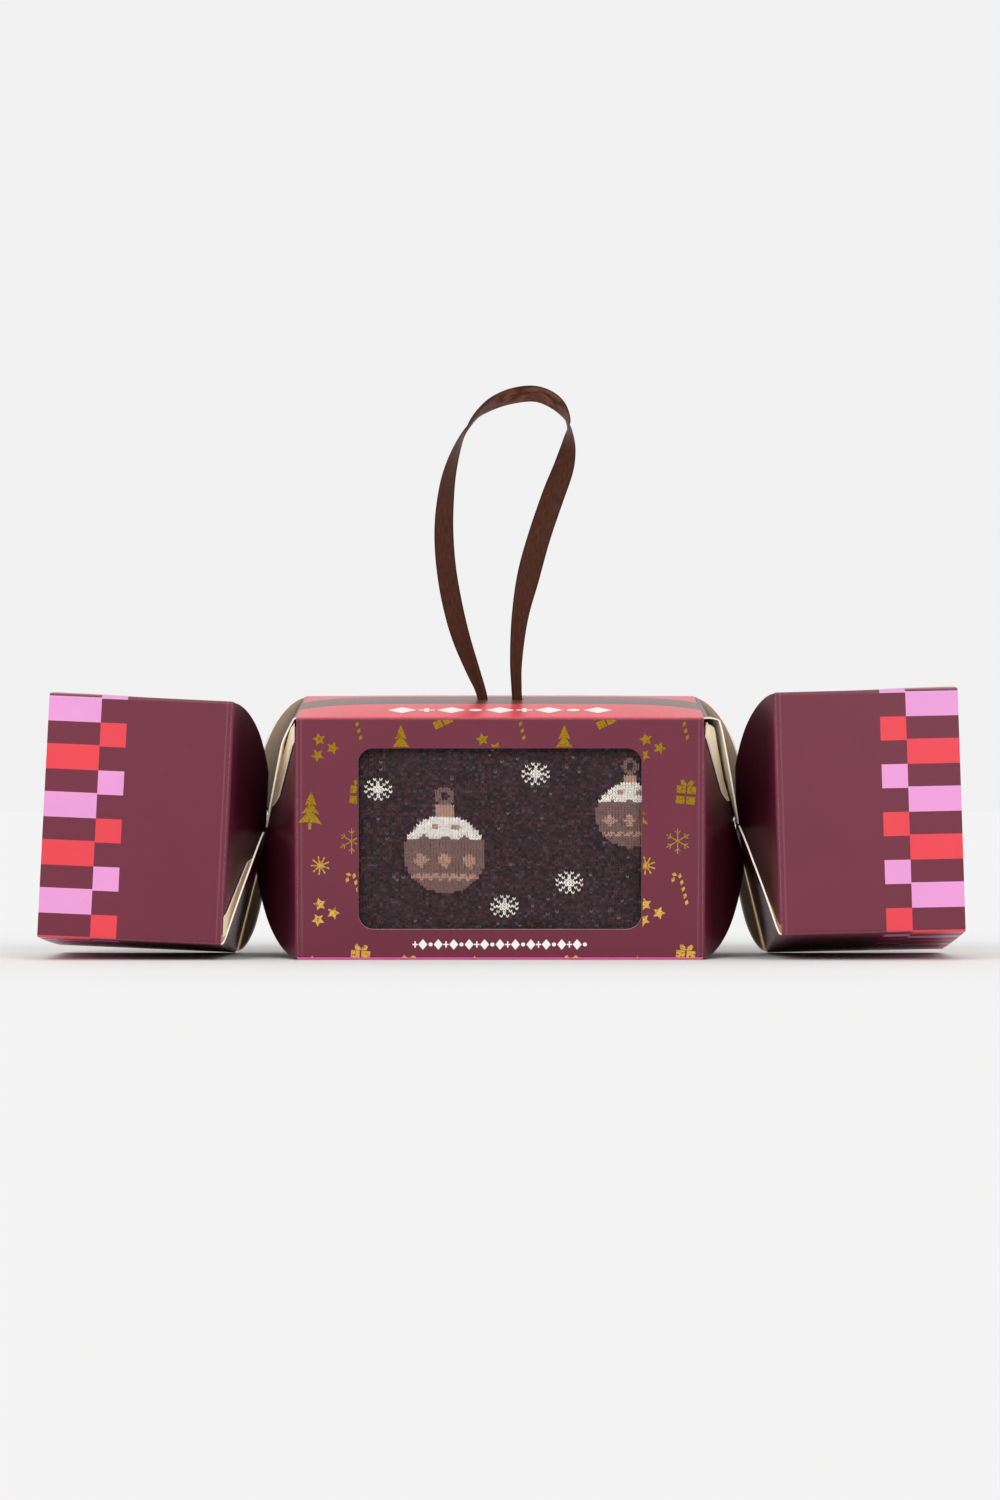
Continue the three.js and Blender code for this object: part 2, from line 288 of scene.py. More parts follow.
def add_noise(tree, place, scale, detail, **more):
    """A noise texture; returns its value."""
    values = {"Vector": place, "Scale": scale, "Detail": detail} | more
    return add_node(tree, "ShaderNodeTexNoise", values).outputs[0]


def new_group(name, inputs, outputs):
    """An empty shader node group with named sockets."""
    tree = bpy.data.node_groups.new(name, "ShaderNodeTree")
    for label, kind, value in inputs:
        socket = tree.interface.new_socket(label, in_out="INPUT", socket_type=kind)
        socket.default_value = value
    for label, kind in outputs:
        tree.interface.new_socket(label, in_out="OUTPUT", socket_type=kind)
    return tree, tree.nodes.new("NodeGroupInput"), tree.nodes.new("NodeGroupOutput")


def use_group(tree, group, values=None):
    """Places a node group in a material."""
    return add_node(tree, "ShaderNodeGroup", values, node_tree=group)


def new_material(name, **constants):
    """A material with one Principled shader, whose constant values sit on its own sockets."""
    material = bpy.data.materials.new(name)
    material.use_nodes = True
    shader = material.node_tree.nodes["Principled BSDF"]
    for key, value in constants.items():
        shader.inputs[key.replace("_", " ")].default_value = value
    return material, material.node_tree, shader


def add_bump(tree, shader, height, strength, distance=0.0001):
    """A relief in metres, joined to the shader's Normal."""
    bump = add_node(tree, "ShaderNodeBump", {"Strength": strength, "Distance": distance,
                                             "Height": height})
    tree.links.new(bump.outputs[0], shader.inputs["Normal"])


print("maroon ink as linear light:", [round(c, 3) for c in linear(118, 57, 73)[:3]])

# %% [markdown]
# ## Paper fibres
# Coated board is never perfectly even. A wide, faint cloudiness and a fine grain are shared by
# the printed face, the cream inside and the cut edge, so they live in one group.

# %% Group: fibres
fibres, group_in, group_out = new_group(
    "paper_fibres",
    [("Cloud", "NodeSocketFloat", 0.06), ("Grain", "NodeSocketFloat", 0.05)],
    [("Shade", "NodeSocketFloat"), ("Height", "NodeSocketFloat")])
place = object_place(fibres)
wide = add_noise(fibres, place, 34.0, 2.0)
fine = add_noise(fibres, place, 1900.0, 3.0, Roughness=0.6)
total = 1.0
for noise, share in ((wide, "Cloud"), (fine, "Grain")):
    total = add_math(fibres, "MULTIPLY_ADD", add_math(fibres, "SUBTRACT", noise, 0.5),
                     group_in.outputs[share], total)
fibres.links.new(total, group_out.inputs["Shade"])
fibres.links.new(fine, group_out.inputs["Height"])
print("group:", fibres.name)

# %% [markdown]
# ## The print
# Every point of a sheet knows where it lay on the flat carton: u is the distance from the raw
# end of a cap (on the body it is 1000 at the middle), v is the distance round the tube from the top
# edge of the front, and the third number is the distance to the nearest fold. The checkers are rows
# about 7.4 mm high: v divided by the row height and rounded down is the row number, and its
# remainder by four says whether a cell is pink, red or left maroon. The rows start a millimetre
# below the top edge, as a carton is never cut quite in line with its print.
# On the neck flaps a painted shade darkens the maroon, more the further a point lies from the fold.

# %% Group: print
MAROON = linear(106, 32, 54)
PINK = linear(224, 149, 205)
RED = linear(224, 62, 74)
DARK = linear(100, 55, 46)
ROSE = linear(232, 88, 164)
# colour of the painted shade on the neck flaps
PAINTED_SHADE = linear(40, 4, 16)
ROW = 7.4              # height of a checker row on the front
ROW_START = 0.95       # the print's own start, below the top edge of the front
ROWS = 40.0            # rows round the tube, a whole number of sets of four
SPREAD = 0.4           # the wide column's cells are printed this much higher
OUTER_COLUMN = 16.2    # from the raw end to the end of the first column
INNER_COLUMN = 24.2    # to the end of the second column
BODY_MARK = 1000.0     # u at the middle of the body
FLAP_MARKS = (40.0, -10.0)  # u and v on a flap: no checkers, and a painted shade over the maroon
TOP_EDGE = 3 * WIDE    # v where the top panel begins
DARK_HALF = 12.5       # half the width of the brown band along the body's top
ROSE_LINE = (78.5, 4.2)  # middle and half width of the line round the body's lower front edge

print_and_shade, group_in, group_out = new_group(
    "carton_print_and_painted_shade", [], [("Color", "NodeSocketColor"), ("Fold", "NodeSocketFloat"),
                         ("Crease", "NodeSocketFloat")])
u, v, fold_gap = split_vector(print_and_shade, stored(print_and_shade, "ink"))


def calc(operation, *values):
    """A Math node of the print."""
    return add_math(print_and_shade, operation, *values)


def cell_column(height, pink_row, red_row):
    """Pink and red masks of a column: the row number grows by one each 7.4 mm on the front, and
    from there back to the same edge it is stretched to end on a whole set of four."""
    joint = (WIDE - ROW_START) / ROW
    slope = (ROWS - ROW_START / ROW - joint) / TOP_EDGE
    front_row = calc("DIVIDE", calc("SUBTRACT", height, ROW_START), ROW)
    other_row = calc("MULTIPLY_ADD", height, slope, joint - WIDE * slope)
    row = calc("FLOOR", calc("MINIMUM", front_row, other_row))
    remainder = calc("FLOORED_MODULO", row, 4.0)
    return [calc("COMPARE", remainder, float(wanted), 0.5) for wanted in (pink_row, red_row)]


first = calc("LESS_THAN", u, OUTER_COLUMN)
second = calc("SUBTRACT", calc("LESS_THAN", u, INNER_COLUMN), first)
wide_cells = [calc("MAXIMUM", late, early) for late, early in zip(
    cell_column(v, 0, 2), cell_column(calc("ADD", v, SPREAD), 0, 2))]
pink, red = [calc("ADD", calc("MULTIPLY", first, wide), calc("MULTIPLY", second, small))
             for wide, small in zip(wide_cells, cell_column(v, 3, 1))]
on_body = calc("GREATER_THAN", u, BODY_MARK / 2)
on_top = calc("MULTIPLY", on_body, calc("GREATER_THAN", v, TOP_EDGE + 0.2))
dark = calc("MULTIPLY", on_top, calc("COMPARE", v, TOP_EDGE + HALF, DARK_HALF))
red = calc("ADD", red, calc("SUBTRACT", on_top, dark))
border = calc("MULTIPLY", on_body, calc("COMPARE", v, *ROSE_LINE))
# Painted shade on the neck flaps: the maroon grows darker the further it lies from the fold
deep = calc("MULTIPLY", calc("LESS_THAN", v, FLAP_MARKS[1] / 2),
            add_ramp(print_and_shade, fold_gap, 0.6, 9.0, 0.25, 0.72))
color = MAROON
for mask, ink in ((dark, DARK), (red, RED), (pink, PINK), (border, ROSE), (deep, PAINTED_SHADE)):
    color = add_mix(print_and_shade, mask, color, ink)
body_gap = calc("SUBTRACT", BODY / 2, calc("ABSOLUTE", calc("SUBTRACT", u, BODY_MARK)))
crease_gap = calc("MAXIMUM", body_gap, calc("SUBTRACT", CAP, u))
for label, value in (("Color", color), ("Fold", fold_gap), ("Crease", crease_gap)):
    print_and_shade.links.new(value, group_out.inputs[label])
print("rows round the tube:", int(ROWS))

# %% [markdown]
# ## Board: ink, cream and cut edge
# The ink is a dull coat with a soft gloss. Where the board was scored and folded the coat is
# stretched, so a thin paler line runs beside each fold, and the fold itself is a little rubbed.

# %% Materials of the board
SCORE_LINE = (1.5, 0.25)   # its distance from a crease, and half its width

board_ink, tree, shader = new_material("board_ink", IOR=1.46)
print_and_shade_node = use_group(tree, print_and_shade)
fibre_node = use_group(tree, fibres, {"Cloud": 0.16, "Grain": 0.08})
grain = fibre_node.outputs["Height"]
score_line = add_math(tree, "COMPARE", print_and_shade_node.outputs["Crease"], *SCORE_LINE)
rubbed = add_math(tree, "MULTIPLY", add_ramp(tree, print_and_shade_node.outputs["Fold"], 0.55, 0.0),
                  add_ramp(tree, grain, 0.35, 0.65, 0.25, 1.0))
pale = add_math(tree, "ADD", add_math(tree, "MULTIPLY", score_line, 0.07),
                add_math(tree, "MULTIPLY", rubbed, 0.16))
ink_color = add_mix(tree, pale, print_and_shade_node.outputs["Color"], linear(226, 170, 182))
ink_color = add_mix(tree, 1.0, ink_color, fibre_node.outputs["Shade"], "MULTIPLY")
tree.links.new(ink_color, shader.inputs["Base Color"])
tree.links.new(add_ramp(tree, grain, 0.2, 0.8, 0.28, 0.4), shader.inputs["Roughness"])
add_bump(tree, shader, add_math(tree, "SUBTRACT", add_math(tree, "MULTIPLY", grain, 0.25),
                                add_math(tree, "MULTIPLY", score_line, 0.8)), 0.35)


def paper_finish(name, color, cloud, grain, relief, **constants):
    """A fibrous finish of one colour, with or without a fine relief."""
    material, tree, shader = new_material(name, **constants)
    fibre_node = use_group(tree, fibres, {"Cloud": cloud, "Grain": grain})
    tinted = add_mix(tree, 1.0, linear(*color), fibre_node.outputs["Shade"], "MULTIPLY")
    tree.links.new(tinted, shader.inputs["Base Color"])
    if relief:
        add_bump(tree, shader, fibre_node.outputs["Height"], relief)
    return material


board_cream = paper_finish("board_cream", (240, 221, 190), 0.12, 0.2, 0.3, Roughness=0.75, IOR=1.4)
board_cut = paper_finish("board_cut", (248, 232, 220), 0.1, 0.35, 0.0, Roughness=0.85, IOR=1.4)
BOARD_LOOKS = (board_ink, board_cream, board_cut)
print("board materials:", [m.name for m in BOARD_LOOKS])

# %% [markdown]
# ## Panels
# Across the tube a panel is flat in the middle and ends in an eighth of a turn at each crease,
# so that two neighbours meet exactly on the fold. The body's top panel bows up by two millimetres,
# because the ribbon's knot and the socks press on it from inside. The tops of the open caps bow
# up a little more, most at their raw ends.

# %% Panel shape
BOW = {"body_top": 2.2, "body_front": 0.25, "body_back": 0.5, "body_bottom": 0.15,
       "left_cap_top": 2.7, "right_cap_top": 4.0}


def panel_points(section, side, along, across, depth):
    """Points of a panel. With t from 0 to 45 degrees over the last 0.9 mm and r = 0.9 - depth:
    y = +-(36.6 + r sin t), z = 36.6 + r cos t + bow (1 - (across / half)^2) f. Along the body
    f = 1 - (2a / L)^6; on a cap f = 1 - (e / L)^2, with e measured from its open end."""
    length, end = SECTIONS[section]["length"], SECTIONS[section]["end"]
    bow = BOW.get(f"{section}_{side}", 0.25)
    flat = HALF - FOLD
    t = np.clip(np.abs(across) - flat, 0.0, FOLD) / FOLD * np.pi / 4
    radius = FOLD - depth
    y = np.sign(across) * (np.minimum(np.abs(across), flat) + radius * np.sin(t))
    held = (2 * along / length) ** 6 if end == 0 else (0.5 - end * along / length) ** 2
    lift = bow * (1 - (across / HALF) ** 2) * (1 - held)
    z = flat + radius * np.cos(t) + lift
    return to_world(section, side, np.stack([along, y, z], axis=-1))


def panel_notes(section, side, along, across):
    """u, v and the distance to the nearest fold, for the print."""
    half, end = SECTIONS[section]["length"] / 2, SECTIONS[section]["end"]
    start = WIDE * ((SIDES.index(side) - 1) % 4)
    u = half - end * along if end else BODY_MARK + along
    v = np.clip(start + HALF - across, start + 0.01, start + WIDE - 0.01)
    end_gap = half + end * along if end else half - np.abs(along)
    return u, v, np.minimum(HALF - np.abs(across), end_gap)


def spread(low, high, count):
    """Sample places that crowd together at both ends, where the folds need them."""
    near = np.array([0.0, 0.15, 0.3, 0.45, 0.6, 0.9, 1.15, 1.4, 2.0, 3.0])
    middle = np.linspace(low + 5.0, high - 5.0, count)
    return np.concatenate([low + near, middle, (high - near)[::-1]])


def add_panel(section, side, along, across, name, rims, wrap=False):
    """Builds one panel sheet in place of its plain solid."""
    skins = [panel_points(section, side, along, across, depth) for depth in (0.0, BOARD)]
    notes = panel_notes(section, side, along, across)
    thing = add_sheet(name, *skins, notes, rims, BOARD_LOOKS, wrap)
    return dress(thing, section, f"{section}_{side}_panel")


built = 0
for section, place in SECTIONS.items():
    for side in SIDES:
        if (section, side) in (("body", "front"), ("body", "top")):
            continue
        reach = place["length"] / 2
        along, across = np.meshgrid(spread(-reach, reach, 18), spread(-HALF, HALF, 22),
                                    indexing="ij")
        ends = {-1: (CUT, INK), 0: (INK, INK), 1: (INK, CUT)}[place["end"]]
        add_panel(section, side, along, across, f"{section}_{side}_board", (*ends, INK, INK))
        built += 1
print("plain panels:", built)

# %% [markdown]
# ## Panels with a hole
# The window and the two ribbon holes are cut through the board. A grid that runs round the hole
# follows such a panel best: its first row is the hole's edge, its last row is the panel's
# outline, and the rows between slide from one to the other.

# %% Window panel and ribbon panel
WINDOW = (43.5, 28.0, 4.6)   # half width, half height and corner radius
RIBBON_HOLE = 2.2            # radius
HOLE_SPACING = 11.0
WINDOW_STEPS = np.array([0, .02, .06, .14, .25, .38, .5, .62, .72, .8, .85, .88, .905, .92, .935,
                         .95, .965, .98, 1.0])
HALF_STEPS = np.concatenate([[0, .01, .03, .07, .13], np.linspace(.2, .9, 13),
                             [.93, .95, .965, .975, .98, .985, .99, .995, 1.0]])


def window_loops(reach):
    """Two matching loops: a rounded rectangle, and the panel's outline met straight outwards
    from its edges and fanned out to the corners from its rounds."""
    wx, wy, r = WINDOW
    inner, outer = [], []
    turn = np.linspace(0, 1, 13)
    crowd = (1 - (1 - turn[:7] / 0.5) ** 2)[:, None]
    corners = np.array([[1, -1], [1, 1], [-1, 1], [-1, -1]])
    for k, signs in enumerate(corners):
        centre, corner = signs * [wx - r, wy - r], signs * [reach, HALF]
        angle = (k - 1) * np.pi / 2 + turn * np.pi / 2
        inner.append(centre + r * np.stack([np.cos(angle), np.sin(angle)], axis=-1))
        level, upright = np.array([centre[0], corner[1]]), np.array([corner[0], centre[1]])
        before, after = (level, upright) if k % 2 == 0 else (upright, level)
        outer.append(np.concatenate([before + (corner - before) * crowd,
                                     after + (corner - after) * crowd[::-1][1:]]))
        way = corners[(k + 1) % 4] * [wx - r, wy - r] - centre
        step = np.linspace(0, 1, 34 if k % 2 == 1 else 22)[1:-1, None]
        inner.append(inner[-1][-1] + way * step)
        outer.append(outer[-1][-1] + way * step)
    return np.concatenate(inner), np.concatenate(outer)


def holed_half(low, high, centre):
    """A half panel with a round hole: each point of the outline looks back at the hole."""
    a, b = spread(low, high, 14), spread(-HALF, HALF, 16)
    edges = ((a[:-1], -HALF), (high, b[:-1]), (a[:0:-1], HALF), (low, b[:0:-1]))
    loop = np.concatenate([np.stack(np.broadcast_arrays(x, y), axis=-1) for x, y in edges])
    angle = np.arctan2(loop[:, 1], loop[:, 0] - centre)
    ring = np.stack([centre + RIBBON_HOLE * np.cos(angle), RIBBON_HOLE * np.sin(angle)], axis=-1)
    return ring, loop


def slide(inner, outer, steps):
    """Rows between two loops: inner + (outer - inner) s."""
    grid = inner[None] + (outer - inner)[None] * steps[:, None, None]
    return grid[..., 0], grid[..., 1]


along, across = slide(*window_loops(BODY / 2), WINDOW_STEPS)
add_panel("body", "front", along, across, "body_front_board", (CUT, INK), wrap=True)

for name, end in (("left", -1), ("right", 1)):
    loops = holed_half(*sorted((0.0, end * BODY / 2)), end * HOLE_SPACING / 2)
    thing = add_panel("body", "top", *slide(*loops, HALF_STEPS), f"body_top_board_{name}",
                      (CUT, INK), wrap=True)
    print(thing.name, len(thing.data.polygons), "faces")

# %% [markdown]
# ## Neck flaps
# Each neck is a pair of pinwheels. A flap leaves its crease through a tight bend, leans in
# towards the middle of the neck, and is rounded on one side, where it passes over the next flap.
# Its other side stops short of the flap that passes over it. The free margin of the body's two
# top flaps was pulled outwards when the carton was twisted, so it stands off a little.

# %% Neck flap shape
FLAP_HALF = 37.0       # half the flap's root
FLAP_DEEPEST = 42.5    # how deep the rounded side would be if it wasn't cut off
MARGIN = 12.0          # width of the pulled margin
MARGIN_END = 37.0      # depth at which it lies flat again


def free_side(depth):
    """The rounded side: across = 37 sqrt(1 - (d / 42.5)^2)."""
    return FLAP_HALF * np.sqrt(np.clip(1 - (depth / FLAP_DEEPEST) ** 2, 0, 1))


def covered_side(flap, depth, gap):
    """The straight line where the covering flap's plane cuts this one, less a gap that closes
    in the last third, where the two nearly touch."""
    slope = np.sin(np.radians(flap["lean"])) / np.tan(np.radians(flap["over"]))
    closing = np.clip((depth - flap["jog"]) / 2.5, 0, 1)
    return HALF - depth * slope - gap + (gap - flap["close"]) * closing


def flap_points(flap, depth, across, under):
    """The bend is an arc through 90 degrees less the lean, and the rest is flat:
    x = L / 2 + r sin t + (d - arc) sin lean; z falls by r (1 - cos t) + (d - arc) cos lean."""
    lean, bend = np.radians(flap["lean"]), flap["bend"]
    arc = bend * (np.pi / 2 - lean)
    t = np.clip(depth, 0, arc) / bend
    straight = np.maximum(depth - arc, 0)
    radius = bend - under
    edge_gap = np.clip(free_side(depth) - across * flap["fin"], 0, MARGIN)
    pulled = flap["pull"] * (1 - edge_gap / MARGIN) * np.clip(depth / flap["ease"], 0, 1)
    pulled = pulled * np.clip((MARGIN_END - depth) / flap["fade"], 0, 1)
    x = SECTIONS[flap["section"]]["length"] / 2 + radius * np.sin(t) + straight * np.sin(lean)
    z = HALF - bend + radius * np.cos(t)
    x, z = x + pulled * np.cos(lean), z - straight * np.cos(lean) + pulled * np.sin(lean)
    local = np.stack([flap["end"] * x, across, z], axis=-1)
    return to_world(flap["section"], flap["side"], local)


def flap_grid(flap):
    """Depth and across of a flap, from root to tip and from the covered to the free side."""
    near = np.array([0.0, 0.2, 0.4, 0.6, 0.8, 1.0, 1.25, 1.6, 2.0, 2.5, 3.0])
    far = 3.0 + (flap["reach"] - 3.0) * np.sin(np.linspace(0, np.pi / 2, 26))[1:]
    depth = np.concatenate([near, far])[:, None]
    covered = np.minimum(covered_side(flap, depth, flap["gap"]), FLAP_HALF)
    share = np.concatenate([np.linspace(0, 0.8, 18)[:-1], np.linspace(0.8, 1, 12)])
    return depth, flap["fin"] * (-covered + (free_side(depth) + covered) * share)


print("half the width of a flap at its root and 30 mm deep:",
      [round(float(free_side(depth)), 1) for depth in (0.0, 30.0)])

# %% [markdown]
# ## The two pinwheels of each neck
# The body's flaps and the cap's flaps turn opposite ways.

# %% Neck flap sheets
RUB_START = 0.3        # a flap's crease is rubbed less than a panel's
COVERING = {"left": 15.3, "right": 16.5}   # lean of the flaps that pass over others, in degrees
PULLED = {"left": {"pull": 1.9, "ease": 9.0, "fade": 31.0},
          "right": {"pull": 2.9, "bend": 2.3, "fade": 31.0}}


def add_neck_sheet(name, flap, grids, fold_gap, rims, looks):
    """A sheet that lies on a flap. grids are its
    depth and across, and how far its two skins lie under the flap's printed face. On a mirrored
    flap the columns change sides, so that the skins keep looking outwards and inwards."""
    grids = np.broadcast_arrays(*grids)
    if flap["end"] * flap["fin"] < 0:
        grids, rims = [grid[:, ::-1] for grid in grids], (*rims[:2], *rims[:1:-1])
    depth, across, *skins = grids
    skins = [flap_points(flap, depth, across, under) for under in skins]
    thing = add_sheet(name, *skins, (*FLAP_MARKS, depth + fold_gap), rims, looks)
    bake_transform(thing)
    return thing


def flap_values(neck, kind, side):
    """Lean, bend, pull and trim of a flap. Upright flaps of the body lean in most."""
    upright = side in ("front", "back")
    away = -1 if neck == "left" else 1
    flap = {"side": side, "lean": COVERING[neck], "over": COVERING[neck], "bend": FOLD,
            "pull": 0.3, "ease": 3.0, "fade": 12.0, "gap": 2.7, "close": 0.5, "jog": 20.0}
    if kind == "body":
        flap |= {"section": "body", "end": away, "fin": -1}
        flap |= {"lean": 21.0, "reach": 39.0} if upright else {"over": 20.0, "reach": 38.0}
    else:
        flap |= {"section": f"{neck}_cap", "end": -away, "fin": 1, "jog": 26.0,
                 "reach": 36.9 if upright else 38.0}
    return flap | (PULLED[neck] if (kind, side) == ("body", "top") else {})


for neck in NECKS:
    for kind in ("body", "cap"):
        for side in SIDES:
            flap, name = flap_values(neck, kind, side), f"{neck}_neck_{kind}_flap_{side}"
            # The cut edge along the covered side gets the ink look, not the pale cut look: painted
            # shade, as it lies under the flap that passes over it.
            add_neck_sheet(name + "_board", flap, (*flap_grid(flap), 0.0, BOARD),
                                        RUB_START, (INK, INK, INK, CUT), BOARD_LOOKS)
            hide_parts(name)

# %% [markdown]
# ## Folded-back hems
# Where an upright flap was trimmed along the diagonal, a narrow web of board is left, and it is
# folded over the printed side. It turns the cream inside of the board to the eye, as a slim pale
# band beside the cut edge. It ends in a slanting cut, half to three quarters of the way in. On the
# front of the body it isn't pressed flat, and springs away from the flap near its root.

# %% Hems
HEM_BOARD = 0.45       # thickness of the web
SLANT = 3.0            # length of the slanting cuts at both ends
SPRINGS = {"left": (1.2, 0.8, 9.0), "right": (2.1, 1.2, 4.0)}  # height, rise at the root, ease
HEMS = (("left", "body", "front", 20.5, 3.6), ("right", "body", "front", 21.0, 3.2),
        ("left", "cap", "front", 27.5, 6.2), ("left", "body", "back", 20.0, 4.3),
        ("right", "body", "back", 20.0, 4.3), ("left", "cap", "back", 28.0, 7.0),
        ("right", "cap", "back", 28.0, 7.0))


def add_hem(neck, kind, side, reach, width):
    """A strip between the trimmed edge s(d) and the same line a width nearer the root:
    d = d0 - q width, s = s(d0). It is lifted by 0.12 + 0.15 q, and a springing one by a height
    more at its fold, less with q and with d0."""
    flap = flap_values(neck, kind, side) | {"jog": 40.0}
    springing = (kind, side) == ("body", "front")
    height, rise, ease = SPRINGS[neck] if springing else (0.0, 0.6, 1.0)
    along = np.concatenate([[0.0, 0.4, 0.8], np.linspace(1.3, reach, 22)])[:, None]
    q = np.linspace(0, 1, 6)
    narrow = np.clip(along / SLANT, 0.25, 1) * np.clip((reach + 0.4 - along) / SLANT, 0, 1)
    depth = np.maximum(along - q * width * narrow, 0.35)
    gap = flap["gap"] - 0.25 - rise * np.clip(1 - along / 5, 0, 1)
    across = -flap["fin"] * covered_side(flap, along, gap)
    sprung = np.clip(along / ease + rise - 0.6, 0, 1) * np.clip(1 - along / 20, 0.25, 1)
    lift = 0.12 + 0.15 * q + height * (1 - q) * sprung
    return add_neck_sheet(f"{neck}_neck_{kind}_hem_{side}", flap,
                          (depth, across, -lift - HEM_BOARD, -lift), 0.0, (CUT,) * 4,
                          (board_cream, board_ink, board_cut))


hems = [add_hem(*hem) for hem in HEMS]
print("hems:", len(hems))

# %% [markdown]
# ## Glue flaps
# The tube is closed by a glued flap behind each back panel. Its solid already has the right
# shape, so it only gets the cream finish of the inside.

# %% Glue flaps
for section in SECTIONS:
    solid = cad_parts[f"{section}_glue_flap"]
    print(solid.name, "has", len(solid.material_slots), "material slot")
    solid.material_slots[0].material = board_cream
print("glue flaps:", len(SECTIONS))

# %% [markdown]
# ## Small seasonal figures
# Stars, trees, gifts, snow crystals, bursts and canes are stamped on the front. Each figure is a
# handful of polygons drawn from a formula round its own middle, in millimetres.

# %% Figure shapes
def turned(points, degrees):
    """Turns points about their origin."""
    a = np.radians(degrees)
    return np.asarray(points, float) @ np.array([[np.cos(a), np.sin(a)], [-np.sin(a), np.cos(a)]])


def star(size, points=5, inner=0.48):
    """Radii that alternate between size and inner * size at equal angles."""
    angle = np.pi / 2 + np.arange(2 * points) * np.pi / points
    radius = np.where(np.arange(2 * points) % 2 == 0, size, size * inner)
    return np.stack([radius * np.cos(angle), radius * np.sin(angle)], axis=-1)


def bar(start, stop, width):
    """A straight stroke."""
    start, stop = np.asarray(start, float), np.asarray(stop, float)
    way = unit(stop - start)
    side = np.array([-way[1], way[0]]) * width / 2
    return np.array([start - side, stop - side, stop + side, start + side])


def star_cluster():
    """Three small stars in a loose triangle."""
    return [turned(star(2.1), degrees) + place
            for degrees, place in ((12, (-1.3, 2.5)), (-20, (2.9, -0.2)), (30, (-1.8, -2.4)))]


def tree_figure():
    """Three tiers with drooping corners that widen downwards, and a trunk."""
    parts = [np.array([[-0.45, -5.8], [0.45, -5.8], [0.45, -3.6], [-0.45, -3.6]])]
    tiers = ((3.8, -3.7, -0.4, 0.8), (2.8, -0.7, 2.2, 0.45), (1.8, 2.0, 6.0, 0.05))
    for w, low, high, neck in tiers:
        parts.append(np.array([[-w, low - 0.4], [-w * 0.4, low + 0.1], [w * 0.4, low + 0.1],
                               [w, low - 0.4], [neck, high], [-neck, high]]))
    return parts


def gift_figure():
    """Four quarters of a box, parted by a bare ribbon cross, and two loops of a bow."""
    boxes = []
    for sx in (-1, 1):
        for low, high in ((-2.95, -0.6), (0.3, 2.6)):
            boxes.append(np.array([[sx * 0.24, low], [sx * 2.95, low], [sx * 2.95, high],
                                   [sx * 0.24, high]])[::sx])
        boxes.append(np.array([[0, 2.7], [sx * 1.7, 2.8], [sx * 2.1, 4.1], [sx * 1.3, 4.6],
                               [sx * 0.3, 3.6]])[::sx])
    return boxes


def snowflake_figure():
    """Six arms, each with a pair of barbs."""
    arm = [bar((0, 0.0), (0, 4.0), 0.3), bar((0, 2.3), (0.85, 3.2), 0.26),
           bar((0, 2.3), (-0.85, 3.2), 0.26)]
    return [turned(part, 60 * k) for k in range(6) for part in arm]


def burst_figure():
    """Nine slim rays round a dot."""
    ray = np.array([[-0.2, 0.6], [0.2, 0.6], [0.24, 2.9], [-0.24, 2.9]])
    return [turned(ray, 40 * k + 12) for k in range(9)] + [star(1.15, 9, 0.8)]


def cane_figure():
    """A stick with a hook to the left, printed only as its slanting bands."""
    band = np.array([[-0.5, -0.75], [0.5, -0.35], [0.5, 0.75], [-0.5, 0.35]])
    places = [(1.2, y, 0) for y in (-4.5, -2.35, -0.2, 1.95)]
    for a in (0.35, 1.9, 3.3):
        places.append((1.2 * np.cos(a), 3.6 + 1.35 * np.sin(a), np.degrees(a) - 12))
    return [turned(band, degrees) + [x, y] for x, y, degrees in places]


print("polygons of a tree, a gift and a crystal:",
      [len(draw()) for draw in (tree_figure, gift_figure, snowflake_figure)])

# %% [markdown]
# ## Gold foil
# Foil is a mirror-like film with a faint crinkle, so it is real geometry, a few hundredths of a
# millimetre proud of the ink. The figures repeat in both directions, and they are cut off where
# the window or the end of the panel comes in their way.

# %% Foil figures
FILM = 0.03            # how far a film of foil or ink stands on the board
FILM_THICK = 0.00002   # its thickness, in metres
TRIM, CLEAR = 0.6, 0.4  # no foil this near to the panel's edges and to the window
REPEAT = (50.1, 51.0)  # the pattern repeats after this, along and across
BARE = (7.0, 3.0)      # the row at the foot leaves this place empty: x and reach


def clipped(shape, *cuts):
    """Cuts a polygon along straight lines (axis, limit, side to keep), one after the other."""
    for axis, limit, keep in cuts:
        side = keep * (shape[:, axis] - limit)
        result = []
        for k in range(len(shape)):
            a, b, da, db = shape[k - 1], shape[k], side[k - 1], side[k]
            if (da >= 0) != (db >= 0):
                result.append(a + (b - a) * da / (da - db))
            if db >= 0:
                result.append(b)
        shape = np.array(result).reshape(-1, 2)
    return shape


def add_film(name, shapes, side, material):
    """Flat figures on one panel of the body, as a film of foil or ink."""
    stops = np.cumsum([len(shape) for shape in shapes]).tolist()
    faces = [list(range(stop - len(shape), stop)) for shape, stop in zip(shapes, stops)]
    world = panel_points("body", side, *np.concatenate(shapes).T, -FILM)
    thing = add_mesh(name, world, faces, materials=(material,), smooth=None)
    film = thing.modifiers.new("film", "SOLIDIFY")
    film.thickness, film.offset = FILM_THICK, 1.0
    return dress(thing, "body")


